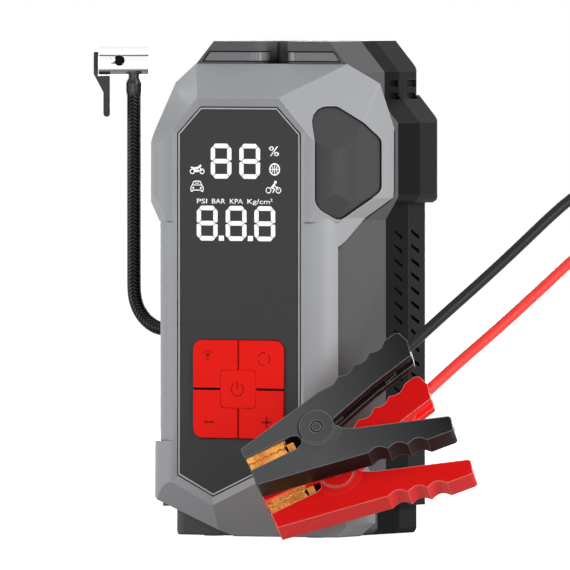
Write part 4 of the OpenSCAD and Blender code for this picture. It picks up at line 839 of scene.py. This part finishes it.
# ---- Web of the key mat that shows in the slit round the middle key ----
KEY_MIDDLE, SLIT_X, SLIT_Z = 59.95, 8.15, 7.65
SLIT_HALF, SLIT_WIDE, SLIT_HIGH = 0.15, 6.4, 5.9
bm = bmesh.new()
for x, z, half_w, half_h in ((0, KEY_MIDDLE + SLIT_Z, SLIT_WIDE, SLIT_HALF),
                             (0, KEY_MIDDLE - SLIT_Z, SLIT_WIDE, SLIT_HALF),
                             (-SLIT_X, KEY_MIDDLE, SLIT_HALF, SLIT_HIGH),
                             (SLIT_X, KEY_MIDDLE, SLIT_HALF, SLIT_HIGH)):
    bar(bm, [(x - half_w, z - half_h), (x + half_w, z - half_h),
             (x + half_w, z + half_h), (x - half_w, z + half_h)])
for x, z, start in ((SLIT_WIDE, KEY_MIDDLE + SLIT_HIGH, 0),
                    (-SLIT_WIDE, KEY_MIDDLE + SLIT_HIGH, 90),
                    (-SLIT_WIDE, KEY_MIDDLE - SLIT_HIGH, 180),
                    (SLIT_WIDE, KEY_MIDDLE - SLIT_HIGH, 270)):
    ring(bm, x, z, SLIT_X - SLIT_WIDE, 2 * SLIT_HALF, start, start + 90)
plates(bm, "key_web", KEY_FACE + 0.1, "casing", key, proud=0, deep=0.3)


# ---- Marks pressed into the keys ----
MARK_PROUD = 0.02
POWER_FACE = KEY_FACE - 0.1


def mark(bm, name, face=KEY_FACE):
    plates(bm, f"{name}_mark", face, f"key_{name}", key_mark, proud=MARK_PROUD)


x, z = -0.31, 60.0
bm = bmesh.new()
ring(bm, x, z, 2.75, 0.55, 122, 418)
stroke(bm, [(x, z + 0.2), (x, z + 3.0)], 0.6)
mark(bm, "power", POWER_FACE)

x, z = -14.2, 73.6
bm = bmesh.new()
disc(bm, x, z, 0.85)
stroke(bm, [(x - 0.35, z - 1.65), (x + 0.35, z - 1.65)], 0.5)
for turn in (-60, -30, 0, 30, 60):
    dx, dz = math.sin(math.radians(turn)), math.cos(math.radians(turn))
    stroke(bm, [(x + 1.5 * dx, z + 1.5 * dz), (x + 2.1 * dx, z + 2.1 * dz)], 0.32)
mark(bm, "light")

bm = bmesh.new()
for start in (75, 195, 315):
    ring(bm, 12.0, 72.3, 2.7, 0.5, start, start + 85)
mark(bm, "mode")

bm = bmesh.new()
stroke(bm, [(-15.6, 46.6), (-11.6, 46.6)], 0.8)
mark(bm, "minus")

x, z, half = 13.25, 46.75, 1.9
bm = bmesh.new()
stroke(bm, [(x - half, z), (x + half, z)], 0.8)
stroke(bm, [(x, z - half), (x, z + half)], 0.8)
mark(bm, "plus")


# ---- Clamp details: painted shade as dark rings round the rivet and the boss, and as a dark plate in the slot ----
CLAMP_FACE, SLOT_FACE = -7.5, -0.5
RIVET_RING, BOSS_RING = (2.3, 0.56), (7.25, 0.28)  # radius and width
SLOT_LEFT, SLOT_RIGHT, SLOT_LOW, SLOT_HIGH = -31.2, -8.2, -4.6, 1.1
for side in ("black", "red"):
    lie = Matrix.Translation(PIVOT[side]) @ Matrix((ALONG, -OUT, ACROSS)).transposed().to_4x4()
    bm = bmesh.new()
    ring(bm, 0, 0, *RIVET_RING)
    plates(bm, f"{side}_rivet_ring", CLAMP_FACE, f"{side}_upper", shade_black,
           proud=0.1, deep=0.12, place=lie)
    bm = bmesh.new()
    bar(bm, [(SLOT_LEFT, SLOT_LOW), (SLOT_RIGHT, SLOT_LOW), (SLOT_RIGHT, SLOT_HIGH),
             (SLOT_LEFT, SLOT_HIGH)])
    plates(bm, f"{side}_slot_shade", SLOT_FACE, "casing", shade_black,
           proud=0, deep=1, place=lie)
    bm = bmesh.new()
    ring(bm, 0, 0, *BOSS_RING)
    plates(bm, f"{side}_boss_ring", CLAMP_FACE, "casing", shade_black,
           proud=0.3, deep=0.6, place=lie)


# ---- Chuck details: painted shade as a dark disc in the side hole and a dark ring round the ball in its seat ----
CHUCK, CHUCK_TURN = (-67.4, -8.5, 192), math.radians(30)
spin = Matrix.Translation(CHUCK) @ Matrix.Rotation(CHUCK_TURN, 4, "Z")
bm = bmesh.new()
disc(bm, -5.9, 0, 2.18, 28)
plates(bm, "chuck_hole_shade", -5.2, "casing", shade_black, proud=0, deep=0.2, place=spin)
bm = bmesh.new()
ring(bm, -8.6, 0, 1.5, 0.3)
plates(bm, "ball_seat_shade", -5.6, "casing", shade_black, proud=0, deep=0.5, place=spin)


# ---- Painted shade: dark seams along the rear edge of the shell and along the light bars ----
HANDS = ((-1, "left"), (1, "right"))


def shade_seam(name, run, thick, sides, resolution):
    piece = sweep(name, run, thick, sides=sides, resolution=resolution)
    finished(piece, "casing", shade_black)


# (y, z) of the shell's rear edge, laid on the casing behind it by rays from either side
SHELL_EDGE = [(3.1, 164), (3.1, 139), (2.1, 136.6), (-0.9, 134.8), (-31.2, 117.2),
              (-31.2, 40.3), (-9.3, 24.3), (-9.3, 2)]
RAY_START, RAY_STEP = 70, 2
OUTER_SKIN = 0.03  # a ray that hits nearer to the middle than this has missed the side wall
skin = nodes["front_casing"]
surface = BVHTree.FromPolygons([skin.matrix_world @ v.co for v in skin.data.vertices],
                               [f.vertices[:] for f in skin.data.polygons])
for side, name in HANDS:
    run = []
    for a, b in zip(SHELL_EDGE, SHELL_EDGE[1:]):
        steps = max(1, round(math.dist(a, b) / RAY_STEP))
        for k in range(steps):
            y, z = a[0] + (b[0] - a[0]) * k / steps, a[1] + (b[1] - a[1]) * k / steps
            hit = surface.ray_cast(mm(side * RAY_START, y, z), Vector((-side, 0, 0)))[0]
            if hit and abs(hit.x) > OUTER_SKIN:
                run.append((hit.x / MM, y, z))
    shade_seam(f"shell_seam_{name}", run, thick=0.6, sides=1, resolution=1)

# A light bar starts behind the corner, bends round it by BAR_BEND and runs along the front
BAR_X, BAR_BACK, BAR_CORNER, BAR_BEND = 5.2, -5.8, -7.5, 5.8
BEND_X, BAR_FACE = BAR_X + BAR_BEND, BAR_CORNER - BAR_BEND
BAR_ROWS = ((191.85, 32.2), (195.85, 29.2))  # height and outer end
BEND_STEPS, FACE_STEPS = 15, 8
for side, name in HANDS:
    angles = [math.radians(90 * i / BEND_STEPS) for i in range(BEND_STEPS + 1)]
    bend = [(BAR_X + BAR_BEND * (1 - math.cos(a)), BAR_CORNER - BAR_BEND * math.sin(a))
            for a in angles]
    rows = []
    for z, end in BAR_ROWS:
        face = [BEND_X + (end - BEND_X) * k / FACE_STEPS for k in range(1, FACE_STEPS + 1)]
        rows.append([(side * BAR_X, BAR_BACK, z)] + [(side * x, y, z) for x, y in bend]
                    + [(side * x, BAR_FACE, z) for x in face] + [(side * end, BAR_FACE, z)])
    shade_seam(f"light_bar_seam_{name}", rows[0] + rows[1][::-1], thick=0.55, sides=2,
              resolution=2)


# ---- Floor ----
FLOOR_HALF = 6
FLOOR_TONE, FLOOR_GLOW = 0.3, 0.97
# A painted shadow on the floor that only mirrors see: its centre, the radii it fades between
# and its tone
SHADOW_PATCH, SHADOW_INSIDE, SHADOW_OUTSIDE, SHADOW_TONE = (-0.11, 0.10, 0), 0.15, 0.21, 0.04


def floor_material():
    """Pale floor that keeps its shadows and fades into the background, with a painted shadow
    round the object that only mirrors and glass see.
    """
    material, tree = new_material("floor pale")
    new, link = tree.nodes.new, tree.links.new
    dull = new("ShaderNodeBsdfDiffuse")
    dull.inputs["Color"].default_value = (FLOOR_TONE, FLOOR_TONE, FLOOR_TONE, 1)
    away = new("ShaderNodeVectorMath")
    away.operation = "DISTANCE"
    away.inputs[1].default_value = SHADOW_PATCH
    link(object_place(tree), away.inputs[0])
    mirrored_shadow = mapped(tree, away.outputs["Value"], SHADOW_INSIDE, SHADOW_OUTSIDE, SHADOW_TONE, 1)
    for_camera = new("ShaderNodeLightPath").outputs["Is Camera Ray"]
    shown = maths(tree, "MAXIMUM", for_camera, mirrored_shadow)
    glow = new("ShaderNodeEmission")
    glow.inputs["Color"].default_value = (*WHITE, 1)
    link(maths(tree, "MULTIPLY", shown, FLOOR_GLOW), glow.inputs["Strength"])
    both = new("ShaderNodeAddShader")
    link(dull.outputs[0], both.inputs[0])
    link(glow.outputs[0], both.inputs[1])
    pick = new("ShaderNodeMixShader")
    link(seen_directly(tree), pick.inputs["Fac"])
    link(dull.outputs[0], pick.inputs[1])
    link(both.outputs[0], pick.inputs[2])
    link(pick.outputs[0], new("ShaderNodeOutputMaterial").inputs["Surface"])
    return material


bm = bmesh.new()
bmesh.ops.create_grid(bm, x_segments=2, y_segments=2, size=FLOOR_HALF)
floor = from_bmesh(bm, "floor")
floor.data.materials.append(floor_material())
